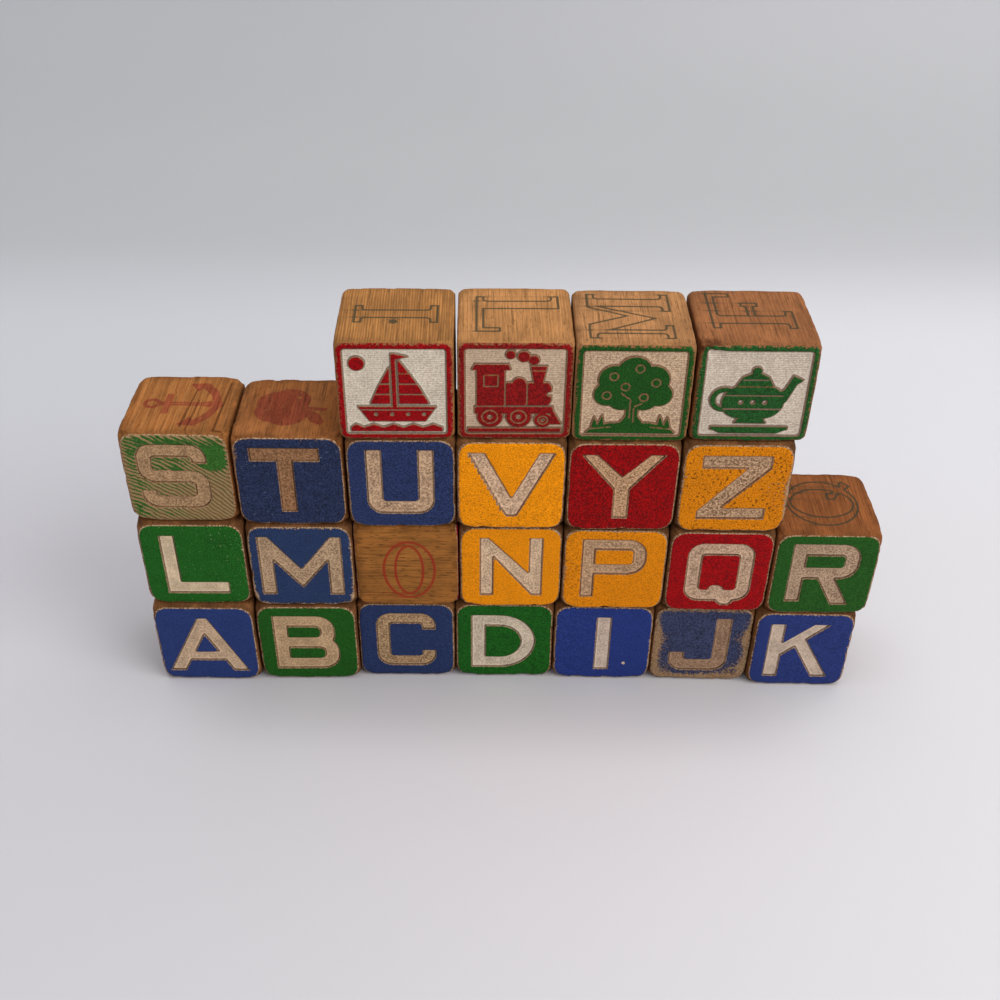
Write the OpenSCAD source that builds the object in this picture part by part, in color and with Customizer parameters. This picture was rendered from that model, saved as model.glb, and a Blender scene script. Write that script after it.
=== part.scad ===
// A set of twenty-four wooden alphabet blocks, stacked four rows high.
// Each block is a turned-over cube of solid wood with two stamped faces:
// the letter and the picture ground are pressed in, and what stays raised is painted.

/* [Block] */
// Length of a block's side
block = 31.75; // [28:0.25:45]
// Radius of a block's long edges
edge_r = 1.1; // [0.6:0.1:1.6]
// How far a block's corners are tumbled back from sharp
corner_wear = 1.3; // [1:0.1:2]

/* [Stack] */
// Space between two neighbours in a row
gap = 0.35; // [0.35:0.05:1]
// Farthest that a block stands off its place, sideways; widths stray with it
nudge_across = 4; // [0:0.5:4]
// Farthest that a block stands off its place, front to back
nudge_depth = 3; // [0:0.5:4]
// Farthest that a block is turned from square, in degrees
nudge_turn = 2.5; // [0:0.5:2.5]

/* [Stamping] */
// Depth to which the stamp presses the wood
stamp_depth = 0.5; // [0.3:0.1:0.8]
// Bare margin round a painted letter face
field_margin = 0.6; // [0.4:0.1:1.5]
// Corner radius of a painted letter face
field_r = 4.6; // [2:0.2:6]
// Bare margin round a picture's frame line
frame_margin = 0.5; // [0.4:0.1:1]
// Width of a picture's frame line
frame_w = 1.5; // [1:0.1:2.5]
// Outer corner radius of a picture's frame line
frame_r = 2.6; // [1.8:0.1:4]
// Width of a line cut into a picture
groove = 0.4; // [0.3:0.05:0.6]

/* [Letters] */
// Height of a stamped letter
letter_h = 23; // [18:0.5:24]
// Width of a letter's stroke
stroke = 4.75; // [3.8:0.05:5]
// Outer radius of a letter's bends
bend_r = 5; // [3:0.25:6]
// Outer radius of the bowls of B, P and R
bowl_r = 5.8; // [4:0.2:6]
// Inner radius of a letter's bends
inner_r = 1.1; // [0.5:0.1:1.5]
// Inner radius of a letter's bowls
bowl_inner_r = 1.7; // [1:0.1:1.8]

/* [Paint] */
// Thickness of the paint on a raised face
coat = 0.12; // [0.08:0.01:0.2]
// Thickness of a flat print
ink = 0.06; // [0.04:0.01:0.1]
// Width of a printed outline
ink_line = 0.42; // [0.3:0.02:0.6]

/* [Printed letters] */
// Height of a printed letter
print_h = 23; // [18:0.5:25]
// Width of a printed letter's stem
print_stem = 4.3; // [3:0.1:5]
// Thickness of a slab serif and of an arm
slab = 1.9; // [1.5:0.1:2.5]
// How far a serif reaches past its stem
serif = 2.6; // [1.5:0.1:3]
// Radius of the curve between a stem and its serif
bracket_r = 1.2; // [0.6:0.1:1.6]
// Height of a printed picture
print_picture = 26; // [20:0.5:28]

/* [Hidden] */
$fn = 48;
over = 1;
row_pitch = block;
column_pitch = block + gap;
half = block / 2;
picture_w = block - 2 * (frame_margin + frame_w);
line_share = groove / picture_w;

// The set: name, paint, stamped front and stamped back of each block
SET = [
  ["a", "blue", "A", "umbrella"], ["b", "green", "B", "apple"],
  ["c", "blue", "C", "anchor"], ["d", "green", "D", "mushroom"],
  ["i", "blue", "I", "kite"], ["j", "blue", "J", "star"],
  ["k", "blue", "K", "house"], ["l", "green", "L", "tulip"],
  ["m", "blue", "M", "boat"], ["o", "red", "O", "star"],
  ["n", "yellow", "N", "train"], ["p", "yellow", "P", "house"],
  ["q", "red", "Q", "apple"], ["r", "green", "R", "umbrella"],
  ["s", "green", "S", "kite"], ["t", "blue", "T", "teapot"],
  ["u", "blue", "U", "mushroom"], ["v", "yellow", "V", "tulip"],
  ["y", "red", "Y", "anchor"], ["z", "yellow", "Z", "tree"],
  ["boat", "red", "boat", "W"], ["train", "red", "train", "G"],
  ["tree", "green", "tree", "H"], ["teapot", "green", "teapot", "E"]
];

// Where each block stands: column from the middle one, row from the floor, then how far it is
// nudged across, nudged back and turned, as shares of the most, and how much wider it is than
// the others, as a share of the farthest nudge across
place_shares = [
  [-3, 0, 0.22, -0.83, 0.08, 0], [-2, 0, 0.25, -0.59, 0.27, 0], [-1, 0, 0.17, 0.01, 0, -0.16],
  [0, 0, 0, 0, 0, -0.10], [1, 0, -0.05, -0.20, -0.19, 0], [2, 0, -0.08, -0.30, -0.29, 0],
  [3, 0, -0.17, -1, -0.28, -0.08], [-3, 1, 0.22, -0.22, 0.16, 0.08], [-2, 1, 0.40, -0.38, 0.16, 0.08],
  [-1, 1, 0.42, -0.24, 0.15, 0], [0, 1, 0.36, -0.25, 0.15, -0.08], [1, 1, 0.33, -0.50, -0.17, 0],
  [2, 1, 0.32, -0.73, -0.18, 0], [3, 1, 0.29, -1, -0.14, 0], [-3, 2, 0.10, 0.30, -0.17, 0],
  [-2, 2, 0.23, -0.12, 0, 0.07], [-1, 2, 0.31, -0.35, 0.17, 0], [0, 2, 0.27, -0.51, 0.14, 0],
  [1, 2, 0.34, -0.58, 0.15, 0.16], [2, 2, 0.54, -0.65, 0.04, 0.11], [-1, 3, 0.15, -0.40, 0.30, 0.20],
  [0, 3, 0.39, -0.17, 0.28, 0.08], [1, 3, 0.55, -0.38, 0.02, 0.22], [2, 3, 0.96, -0.18, 0.05, 0.37]
];

// Flat prints: block, side, figure and quarter turns
PRINTS = [
  ["a", "left", "H", 0], ["l", "left", "T", 1], ["s", "left", "E", 0],
  ["s", "top", "anchor", 1], ["t", "top", "apple", -1], ["boat", "left", "N", 1],
  ["boat", "top", "I", -1], ["train", "top", "L", -1], ["tree", "top", "M", 1],
  ["teapot", "top", "F", 1], ["teapot", "right", "T", 0], ["z", "right", "H", 1],
  ["r", "top", "Q", 1], ["r", "right", "E", -1], ["k", "right", "L", 0],
  ["o", "front", "O", 0], ["o", "back", "N", 0]
];

// How far the printed letters on top stand off the middle, across and back, as shares of the block
print_shares = [["L", 0.025, 0], ["M", -0.025, -0.04], ["F", -0.01, 0.10]];

PAINTS = [["blue", "#26386a"], ["green", "#1f5a1f"], ["yellow", "#dc8c08"], ["red", "#90101a"]];
INKS = [["letter", "#4f5348"], ["picture", "#8a3a30"]];
WOOD = "#b48858";

// Size and place of each stamped letter: its width as a share of its height, its stroke as
// a share of the stroke, and its shift across and up as shares of the block
letter_shares = [
  ["A", 1.12, 1, -0.015, -0.010], ["B", 0.90, 1, -0.015, 0.010], ["C", 0.83, 0.93, -0.005, 0.010],
  ["D", 0.90, 1, -0.010, -0.005], ["E", 0.82, 1, 0, 0], ["G", 0.88, 0.97, 0, 0],
  ["H", 0.88, 1, 0, 0], ["I", 0.21, 1.03, 0, -0.005], ["J", 0.83, 1.07, -0.020, 0],
  ["K", 0.92, 1, -0.010, -0.010], ["L", 0.84, 0.98, 0, 0], ["M", 1.11, 0.95, -0.005, 0.010],
  ["N", 0.84, 0.90, 0.005, 0.010], ["O", 0.92, 1, 0, 0], ["P", 0.86, 0.88, -0.010, 0.020],
  ["Q", 0.89, 0.97, 0.005, 0], ["R", 0.91, 0.98, -0.005, 0.025], ["S", 0.90, 0.97, -0.040, 0.020],
  ["T", 0.88, 1, -0.030, 0.020], ["U", 0.86, 1, -0.010, 0.025], ["V", 1.10, 1, 0.005, 0.015],
  ["W", 1.18, 1, 0, 0], ["Y", 1.07, 1, -0.005, 0.010], ["Z", 0.88, 0.95, -0.010, 0.015]
];

// The fork of the printed M and the notch in it: where the two slanting lines meet, as shares
// of width and height, and the two places where they reach the top, as shares of width
m_fork_shares = [0.5, 0.19, 0.08, 0.856];
m_notch_shares = [0.56, 0.53, 0.34, 0.78];

// Outlines of the straight letters and parts of letters, as shares of width and of height
k_arm_shares = [[0, 0.20], [0, 0.46], [0.654, 1], [0.905, 1]];
k_leg_shares = [[0.744, 0], [1, 0], [0.555, 0.74], [0.385, 0.62]];
m_fold_shares = [[0, 1], [0.133, 1], [0.5, 0.452], [0.867, 1], [1, 1], [1, 0.844], [0.5, 0.117], [0, 0.844]];
n_fold_shares = [[0, 1], [0.143, 1], [1, 0.19], [1, 0], [0.83, 0], [0, 0.904]];
q_tail_shares = [
  [0.36, 0.19], [0.37, 0.25], [0.43, 0.285], [0.53, 0.28], [0.59, 0.24], [0.64, 0.16], [0.71, 0.10],
  [0.76, 0.04], [0.76, -0.03], [0.70, -0.075], [0.60, -0.08], [0.53, -0.04], [0.47, 0.05]
];
r_leg_shares = [[0.404, 0.45], [0.667, 0.45], [0.955, -0.05], [0.69, -0.05]];
v_shares = [[0, 1], [0.19, 1], [0.5, 0.30], [0.81, 1], [1, 1], [0.562, 0], [0.438, 0]];
w_shares = [
  [0, 1], [0.15, 1], [0.29, 0.36], [0.43, 1], [0.57, 1], [0.71, 0.36], [0.85, 1], [1, 1],
  [0.79, 0], [0.64, 0], [0.5, 0.62], [0.36, 0], [0.21, 0]
];
y_shares = [[0, 1], [0.19, 1], [0.5, 0.66], [0.81, 1], [1, 1], [0.596, 0.46], [0.596, 0], [0.404, 0], [0.404, 0.46]];
z_shares = [
  [0, 1], [1, 1], [1, 0.80], [0.363, 0.185], [1, 0.185], [1, 0], [0, 0], [0, 0.13], [0.65, 0.80], [0, 0.80]
];
a_apex_share = 0.14;
a_foot_share = 0.20;
a_bar_low_share = 0.20;
a_bar_high_share = 0.37;
c_hook_share = 0.30;
g_shelf_share = 0.52;
j_hook_share = 0.36;
bowl_share = 0.60;
stem_share = 0.91;
b_upper_share = 0.95;
s_hook_share = 0.29;
printed_w_share = 0.86;
printed_m_share = 0.96;
printed_arm_share = 0.72;
oval_shares = [[0.68, 0.96], [0.37, 0.83]];
oval_place_shares = [0.022, -0.038];
ring_shares = [[0.95, 0.95], [0.61, 0.84]];
ring_ball_share = 0.8;
oval_steps = 36;
star_tips = 5;

// Pictures, as shares of the picture's side from its middle: solid discs (x, y, radius),
// solid rings (x, y, outer and inner radius), solid outlines, round holes (x, y, radius),
// cut lines (x, y to x, y) and cut hoops (x, y, radius)
picture_shares = [
  ["boat",
    [[-0.37, 0.33, 0.075]],
    [],
    [[[-0.38, -0.17], [0.40, -0.17], [0.29, -0.34], [-0.27, -0.34]],
     [[-0.03, -0.20], [0.01, -0.20], [0.01, 0.44], [-0.03, 0.44]],
     [[0.035, -0.13], [0.035, 0.38], [0.13, 0.24], [0.24, 0.06], [0.33, -0.13]],
     [[-0.055, -0.13], [-0.055, 0.28], [-0.17, 0.06], [-0.25, -0.13]],
     [[0, 0.44], [0, 0.38], [0.13, 0.41]],
     [[-0.46, -0.46], [0.46, -0.46], [0.46, -0.42], [0.37, -0.38], [0.27, -0.42], [0.17, -0.38], [0.07, -0.42],
      [-0.03, -0.38], [-0.13, -0.42], [-0.23, -0.38], [-0.33, -0.42], [-0.41, -0.38], [-0.46, -0.42]]],
    [[-0.20, -0.255, 0.022], [-0.04, -0.255, 0.022], [0.12, -0.255, 0.022], [0.28, -0.255, 0.022]],
    [[0.035, -0.02, 0.32, -0.02], [0.035, 0.10, 0.24, 0.10], [0.035, 0.22, 0.18, 0.22],
     [-0.25, -0.02, -0.055, -0.02], [-0.20, 0.10, -0.055, 0.10], [-0.36, -0.205, 0.38, -0.205]],
    []],
  ["train",
    [[-0.25, -0.29, 0.125], [0.04, -0.29, 0.125], [0.285, -0.33, 0.085], [0.04, 0.10, 0.065],
     [0.18, 0.37, 0.05], [0.08, 0.41, 0.058], [-0.05, 0.43, 0.045]],
    [],
    [[[-0.10, -0.15], [0.33, -0.15], [0.36, -0.10], [0.36, 0.06], [0.33, 0.11], [-0.10, 0.11]],
     [[-0.38, -0.20], [-0.10, -0.20], [-0.10, 0.28], [-0.38, 0.28]],
     [[-0.43, 0.26], [-0.05, 0.26], [-0.07, 0.32], [-0.40, 0.32]],
     [[0.19, 0.09], [0.27, 0.09], [0.31, 0.30], [0.15, 0.30]],
     [[-0.40, -0.25], [0.38, -0.25], [0.38, -0.17], [-0.40, -0.17]],
     [[0.36, -0.17], [0.47, -0.38], [0.36, -0.38]],
     [[-0.47, -0.47], [0.47, -0.47], [0.47, -0.43], [-0.47, -0.43]]],
    [[-0.25, -0.29, 0.028], [0.04, -0.29, 0.028], [0.285, -0.33, 0.022], [0.345, -0.02, 0.03]],
    [[-0.31, 0.07, -0.31, 0.20], [-0.31, 0.20, -0.17, 0.20], [-0.17, 0.20, -0.17, 0.07], [-0.17, 0.07, -0.31, 0.07],
     [-0.10, -0.17, -0.10, 0.26], [0.12, -0.15, 0.12, 0.11], [-0.40, -0.165, 0.38, -0.165], [0.17, 0.25, 0.29, 0.25]],
    [[-0.25, -0.29, 0.085], [0.04, -0.29, 0.085], [0.285, -0.33, 0.055]]],
  ["tree",
    [[0, 0.26, 0.17], [-0.19, 0.17, 0.16], [0.19, 0.17, 0.16], [-0.26, 0, 0.13], [0.26, 0, 0.13],
     [-0.11, -0.03, 0.15], [0.11, -0.03, 0.15], [0, 0.11, 0.19]],
    [],
    [[[-0.055, 0], [0.055, 0], [0.06, -0.26], [0.14, -0.37], [-0.14, -0.37], [-0.06, -0.26]],
     [[-0.45, -0.46], [0.45, -0.46], [0.38, -0.38], [0.20, -0.34], [-0.20, -0.34], [-0.38, -0.38]],
     [[-0.40, -0.39], [-0.33, -0.39], [-0.37, -0.27]], [[-0.34, -0.38], [-0.27, -0.37], [-0.29, -0.25]],
     [[0.40, -0.39], [0.33, -0.39], [0.37, -0.27]], [[0.34, -0.38], [0.27, -0.37], [0.29, -0.25]]],
    [],
    [[-0.02, -0.28, -0.02, -0.06], [0.02, -0.33, 0.02, -0.16], [-0.45, -0.41, -0.20, -0.385],
     [0.20, -0.385, 0.45, -0.41], [-0.02, -0.06, -0.12, 0.02], [0.02, -0.14, 0.10, -0.10]],
    [[-0.20, 0.21, 0.05], [0.05, 0.30, 0.05], [0.22, 0.14, 0.05], [-0.08, 0.09, 0.05], [0.11, -0.03, 0.05],
     [-0.26, -0.01, 0.05]]],
  ["teapot",
    [[-0.01, 0.27, 0.045], [-0.13, -0.09, 0.19], [0.11, -0.09, 0.19], [-0.01, -0.09, 0.22]],
    [[-0.30, -0.06, 0.14, 0.09]],
    [[[-0.20, 0.09], [0.18, 0.09], [0.12, 0.20], [0.03, 0.245], [-0.05, 0.245], [-0.14, 0.20]],
     [[0.20, -0.16], [0.32, -0.08], [0.40, 0.12], [0.46, 0.17], [0.36, 0.22], [0.29, 0.06], [0.20, 0]],
     [[-0.17, -0.34], [0.15, -0.34], [0.10, -0.26], [-0.12, -0.26]],
     [[-0.38, -0.42], [0.36, -0.42], [0.28, -0.46], [-0.30, -0.46]],
     [[-0.40, -0.42], [0.38, -0.42], [0.38, -0.385], [-0.40, -0.385]]],
    [[-0.13, -0.09, 0.028], [-0.01, -0.09, 0.028], [0.11, -0.09, 0.028]],
    [[-0.21, 0.095, 0.19, 0.095], [-0.31, -0.01, 0.29, -0.01], [-0.31, -0.17, 0.29, -0.17],
     [-0.14, 0.17, 0.12, 0.17]],
    []],
  ["umbrella",
    [[0, 0.02, 0.40]],
    [[0.065, -0.36, 0.09, 0.045]],
    [[[-0.022, -0.36], [0.022, -0.36], [0.022, 0.46], [-0.022, 0.46]]],
    [[0.135, -0.28, 0.06]],
    [[0, 0.42, -0.20, 0.02], [0, 0.42, 0.20, 0.02]],
    []],
  ["apple",
    [[-0.13, -0.05, 0.24], [0.13, -0.05, 0.24], [-0.09, -0.19, 0.22], [0.09, -0.19, 0.22]],
    [],
    [[[-0.02, 0.10], [0.03, 0.10], [0.08, 0.38], [0.02, 0.40]],
     [[0.06, 0.20], [0.14, 0.32], [0.28, 0.38], [0.36, 0.36], [0.30, 0.24], [0.18, 0.18]]],
    [[-0.20, 0.06, 0.03]],
    [[0.10, 0.23, 0.32, 0.35], [0, 0.12, 0.05, 0.20], [-0.27, -0.16, -0.285, -0.04], [-0.285, -0.04, -0.24, 0.04],
     [-0.10, 0.10, 0, 0.13], [0, 0.13, 0.12, 0.10]],
    []],
  ["anchor",
    [[0, -0.30, 0.06]],
    [[0, 0.34, 0.10, 0.055]],
    [[[-0.035, -0.36], [0.035, -0.36], [0.035, 0.26], [-0.035, 0.26]],
     [[-0.20, 0.13], [0.20, 0.13], [0.20, 0.20], [-0.20, 0.20]],
     [[-0.42, -0.02], [-0.26, -0.14], [-0.34, -0.18], [-0.18, -0.31], [0, -0.36], [0.18, -0.31], [0.34, -0.18],
      [0.26, -0.14], [0.42, -0.02], [0.44, -0.22], [0.28, -0.36], [0, -0.46], [-0.28, -0.36], [-0.44, -0.22]]],
    [],
    [[-0.20, 0.165, 0.20, 0.165], [0, -0.30, 0, 0.13]],
    []],
  ["mushroom",
    [],
    [],
    [[[-0.40, 0.02], [-0.36, 0.20], [-0.24, 0.34], [-0.08, 0.41], [0.08, 0.41], [0.24, 0.34], [0.36, 0.20],
      [0.40, 0.02], [0.34, -0.05], [-0.34, -0.05]],
     [[-0.11, -0.08], [0.11, -0.08], [0.10, -0.28], [0.16, -0.40], [-0.16, -0.40], [-0.10, -0.28]],
     [[-0.44, -0.46], [0.44, -0.46], [0.40, -0.42], [-0.40, -0.42]]],
    [[-0.20, 0.14, 0.065], [0.05, 0.26, 0.07], [0.22, 0.08, 0.055], [-0.02, 0.06, 0.04]],
    [[-0.38, -0.01, 0.38, -0.01], [-0.04, -0.10, -0.04, -0.36], [0.04, -0.10, 0.04, -0.30]],
    []],
  ["kite",
    [[-0.28, -0.36, 0.035], [-0.12, -0.28, 0.035]],
    [],
    [[[0.10, 0.45], [0.40, 0.16], [0.02, -0.20], [-0.14, 0.24]],
     [[0.02, -0.18], [0.05, -0.20], [-0.10, -0.30], [-0.40, -0.45], [-0.42, -0.41], [-0.13, -0.26]],
     [[-0.04, -0.17], [-0.20, -0.20], [-0.14, -0.38], [-0.09, -0.36]],
     [[-0.20, -0.27], [-0.36, -0.30], [-0.30, -0.46], [-0.25, -0.44]]],
    [],
    [[0.10, 0.45, 0.02, -0.20], [-0.14, 0.24, 0.40, 0.16]],
    []],
  ["house",
    [],
    [],
    [[[-0.30, -0.38], [0.30, -0.38], [0.30, 0.10], [-0.30, 0.10]],
     [[-0.42, 0.08], [0.42, 0.08], [0.16, 0.38], [-0.16, 0.38]],
     [[0.16, 0.20], [0.27, 0.20], [0.27, 0.45], [0.16, 0.45]],
     [[-0.46, -0.44], [0.46, -0.44], [0.46, -0.38], [-0.46, -0.38]]],
    [[0.03, -0.22, 0.02]],
    [[-0.42, 0.085, 0.42, 0.085], [-0.08, -0.38, -0.08, -0.08], [-0.08, -0.08, 0.08, -0.08], [0.08, -0.08, 0.08, -0.38],
     [-0.24, -0.02, -0.24, -0.18], [-0.24, -0.18, -0.13, -0.18], [-0.13, -0.18, -0.13, -0.02],
     [-0.13, -0.02, -0.24, -0.02], [0.13, -0.02, 0.13, -0.18], [0.13, -0.18, 0.24, -0.18],
     [0.24, -0.18, 0.24, -0.02], [0.24, -0.02, 0.13, -0.02], [-0.33, 0.19, 0.33, 0.19], [-0.24, 0.29, 0.24, 0.29],
     [0.16, 0.40, 0.27, 0.40]],
    []],
  ["tulip",
    [[0, 0.12, 0.15]],
    [],
    [[[-0.17, 0.10], [-0.20, 0.40], [-0.09, 0.27], [0, 0.43], [0.09, 0.27], [0.20, 0.40], [0.17, 0.10]],
     [[-0.022, -0.46], [0.022, -0.46], [0.022, 0], [-0.022, 0]],
     [[0.01, -0.45], [0.10, -0.36], [0.26, -0.10], [0.30, 0.06], [0.16, -0.04], [0.01, -0.27]],
     [[-0.01, -0.45], [-0.10, -0.36], [-0.26, -0.10], [-0.30, 0.06], [-0.16, -0.04], [-0.01, -0.27]]],
    [],
    [[-0.06, 0.04, -0.08, 0.22], [0.06, 0.04, 0.08, 0.22], [0.07, -0.33, 0.24, -0.04], [-0.07, -0.33, -0.24, -0.04]],
    []],
  ["star", [], [], [], [[0, 0, 0.05]], [], [[0, 0, 0.17]]]
];
star_r_share = 0.46;
star_inner_share = 0.42;

function find(table, key) = [for (row = table) if (row[0] == key) row][0];
function is_letter(figure) = len(figure) == 1;
function printed(name) = len([for (p = PRINTS) if (p[0] == name) p]) > 0;
function stamp_turn(name) = len([for (p = PRINTS) if (p[0] == name && p[1] == "front") p]) > 0 ? -90 : 0;

// A bar from its lower left corner, grown on every side by $grow
$grow = 0;
module bar(x, y, w, h)
  translate([x - $grow, y - $grow]) square([w + 2 * $grow, h + 2 * $grow]);

// A slanted bar, whose ends are level and w wide
module slant(x0, y0, x1, y1, w) {
  g = $grow * norm([x1 - x0, y1 - y0]) / abs(y1 - y0);
  k = $grow * (x1 - x0) / (y1 - y0);
  polygon([
    [x0 - k - g, y0 - $grow], [x0 - k + w + g, y0 - $grow],
    [x1 + k + w + g, y1 + $grow], [x1 + k - g, y1 + $grow]
  ]);
}

// The space between two slanting lines that meet at a point and reach the height h at two places,
// all given as shares of w and h; it goes on over that height, and is grown on every side by $grow
module wedge(shares, w, h) {
  meet = [shares[0] * w, shares[1] * h];
  rise = h - meet[1];
  lean = [for (i = [2, 3]) (shares[i] * w - meet[0]) / rise];
  wide = 2 * w;
  intersection() {
    slant(meet[0] - lean[0] * over, meet[1] - over, meet[0] + lean[0] * (rise + over), h + over, wide);
    slant(meet[0] - lean[1] * over - wide, meet[1] - over, meet[0] + lean[1] * (rise + over) - wide, h + over, wide);
  }
}

// A line from one point to another
module line(a, b, w) {
  n = [a[1] - b[1], b[0] - a[0]] * (w / 2 / norm(b - a));
  polygon([a - n, b - n, b + n, a + n]);
}

// What a round corner of radius r takes off a square one
module corner_cut(r)
  difference() {
    translate([-over, -over]) square(r + over);
    translate([r, r]) circle(r);
  }

// A rectangle from its lower left corner, with a radius for each corner, the lower left one first
module pane(x, y, w, h, r)
  translate([x, y]) difference() {
    square([w, h]);
    for (i = [0 : 3]) if (r[i] > 0)
      translate([(i == 1 || i == 2) ? w : 0, i > 1 ? h : 0]) rotate(90 * i) corner_cut(r[i]);
  }

module outline(shares, w, h) polygon([for (p = shares) [p[0] * w, p[1] * h]]);

// A closed band t wide: a round-cornered rectangle less its eye
module band(x, y, w, h, t, r, eye_r) {
  difference() {
    pane(x, y, w, h, r);
    pane(x + t, y + t, w - 2 * t, h - 2 * t, [for (v = r) v > 0 ? eye_r : 0]);
  }
}

module letter_a(w, h, t) {
  apex = a_apex_share * h;
  foot = a_foot_share * w;
  lean = (w - apex) / 2 / h;
  low = a_bar_low_share * h;
  high = a_bar_high_share * h;
  difference() {
    polygon([[0, 0], [(w - apex) / 2, h], [(w + apex) / 2, h], [w, 0]]);
    polygon([
      [foot - lean * over, -over], [foot + lean * low, low],
      [w - foot - lean * low, low], [w - foot + lean * over, -over]
    ]);
    polygon([[foot + lean * high, high], [w / 2, (w / 2 - foot) / lean], [w - foot - lean * high, high]]);
  }
}

module letter_b(w, h, t) {
  eye = (h - 3 * t) / 2;
  difference() {
    union() {
      pane(0, 0, w, (h + t) / 2, [0, bowl_r, bowl_r, 0]);
      pane(0, (h - t) / 2, w * b_upper_share, (h + t) / 2, [0, bowl_r, bowl_r, 0]);
    }
    pane(t, t, w - 2 * t, eye, [0, bowl_inner_r, bowl_inner_r, 0]);
    pane(t, h - t - eye, w * b_upper_share - 2 * t, eye, [0, bowl_inner_r, bowl_inner_r, 0]);
  }
}

module letter_c(w, h, t) {
  hook = c_hook_share * h;
  difference() {
    band(0, 0, w, h, t, [for (i = [0 : 3]) bend_r], inner_r);
    bar(w - t - over, hook, t + 2 * over, h - 2 * hook);
  }
}

module letter_g(w, h, t) {
  shelf = g_shelf_share * h;
  difference() {
    band(0, 0, w, h, t, [for (i = [0 : 3]) bend_r], inner_r);
    bar(w - t - over, shelf, t + 2 * over, h - shelf - c_hook_share * h);
  }
  bar(w / 2, shelf - t, w / 2, t);
}

module letter_d(w, h, t)
  difference() {
    pane(0, 0, w, h, [0, h / 2, h / 2, 0]);
    pane(t, t, w - 2 * t, h - 2 * t, [0, h / 2 - t, h / 2 - t, 0]);
  }

module letter_e(w, h, t) {
  bar(0, 0, t, h);
  for (y = [0, (h - t) / 2, h - t]) bar(0, y, w, t);
}

module letter_h(w, h, t) {
  for (x = [0, w - t]) bar(x, 0, t, h);
  bar(0, (h - t) / 2, w, t);
}

module letter_j(w, h, t)
  difference() {
    pane(0, 0, w, h, [bend_r, bend_r, 0, 0]);
    pane(t, t, w - 2 * t, h, [inner_r, inner_r, 0, 0]);
    bar(-over, j_hook_share * h, w - t + over, h);
  }

// The stem and bowl that P and R share
module stem_and_bowl(w, h, t) {
  bowl = bowl_share * h;
  bar(0, 0, t, h);
  difference() {
    pane(0, h - bowl, w, bowl, [0, bowl_r, bowl_r, 0]);
    pane(t, h - bowl + t, w - 2 * t, bowl - 2 * t, [0, inner_r, inner_r, 0]);
  }
}

module letter_s(w, h, t) {
  hook = s_hook_share * h;
  r = bend_r;
  // the upper half turns into the middle bar at the left, the lower half at the right
  difference() {
    band(0, (h - t) / 2, w, (h + t) / 2, t, [r, r, r, r], inner_r);
    bar(w / 2, (h - t) / 2 - over, w / 2 + over, h - hook - (h - t) / 2 + over);
  }
  difference() {
    band(0, 0, w, (h + t) / 2, t, [r, r, r, r], inner_r);
    bar(-over, hook, w / 2 + over, h / 2);
  }
  bar(w / 2 - t, (h - t) / 2, 2 * t, t);
}

module letter_u(w, h, t)
  difference() {
    pane(0, 0, w, h, [bend_r, bend_r, 0, 0]);
    pane(t, t, w - 2 * t, h, [inner_r, inner_r, 0, 0]);
  }

// A stamped letter, in a box w wide and h high, with strokes t wide
module letter_shape(c, w, h, t) {
  if (c == "A") letter_a(w, h, t);
  if (c == "B") letter_b(w, h, t);
  if (c == "C") letter_c(w, h, t);
  if (c == "D") letter_d(w, h, t);
  if (c == "E") letter_e(w, h, t);
  if (c == "G") letter_g(w, h, t);
  if (c == "H") letter_h(w, h, t);
  if (c == "I") bar((w - t) / 2, 0, t, h);
  if (c == "J") letter_j(w, h, t);
  if (c == "K" || c == "L") bar(0, 0, t, h);
  if (c == "M" || c == "N") bar(0, 0, t, h * stem_share);
  if (c == "M") bar(w - t, 0, t, h * stem_share);
  if (c == "N") bar(w - t, h * (1 - stem_share), t, h * stem_share);
  if (c == "K") outline(k_arm_shares, w, h);
  if (c == "K") outline(k_leg_shares, w, h);
  if (c == "L") bar(0, 0, w, t);
  if (c == "M") outline(m_fold_shares, w, h);
  if (c == "N") outline(n_fold_shares, w, h);
  if (c == "O" || c == "Q") band(0, 0, w, h, t, [for (i = [0 : 3]) bend_r], inner_r);
  if (c == "Q") outline(q_tail_shares, w, h);
  if (c == "P" || c == "R") stem_and_bowl(w, h, t);
  if (c == "R") outline(r_leg_shares, w, h);
  if (c == "S") letter_s(w, h, t);
  if (c == "T") bar(0, h - t, w, t);
  if (c == "T") bar((w - t) / 2, 0, t, h);
  if (c == "U") letter_u(w, h, t);
  if (c == "V") outline(v_shares, w, h);
  if (c == "W") outline(w_shares, w, h);
  if (c == "Y") outline(y_shares, w, h);
  if (c == "Z") outline(z_shares, w, h);
}

module letter(c) {
  row = find(letter_shares, c);
  w = row[1] * letter_h;
  translate([row[3] * block - w / 2, row[4] * block - letter_h / 2])
    letter_shape(c, w, letter_h, row[2] * stroke);
}

// Five tips round a circle
module star_shape(r, inner)
  polygon([for (i = [0 : 2 * star_tips - 1])
    (i % 2 == 0 ? r : inner) * [sin(i * 180 / star_tips), cos(i * 180 / star_tips)]]);

// What makes an umbrella's canopy out of a disc: its lower half goes, in four scallops
module canopy_cut(r) {
  bar(-r - over, -r - over, 2 * (r + over), r + over);
  for (i = [-3 : 2 : 3]) translate([i * r / 4, 0]) circle(r / 4);
}

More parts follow.
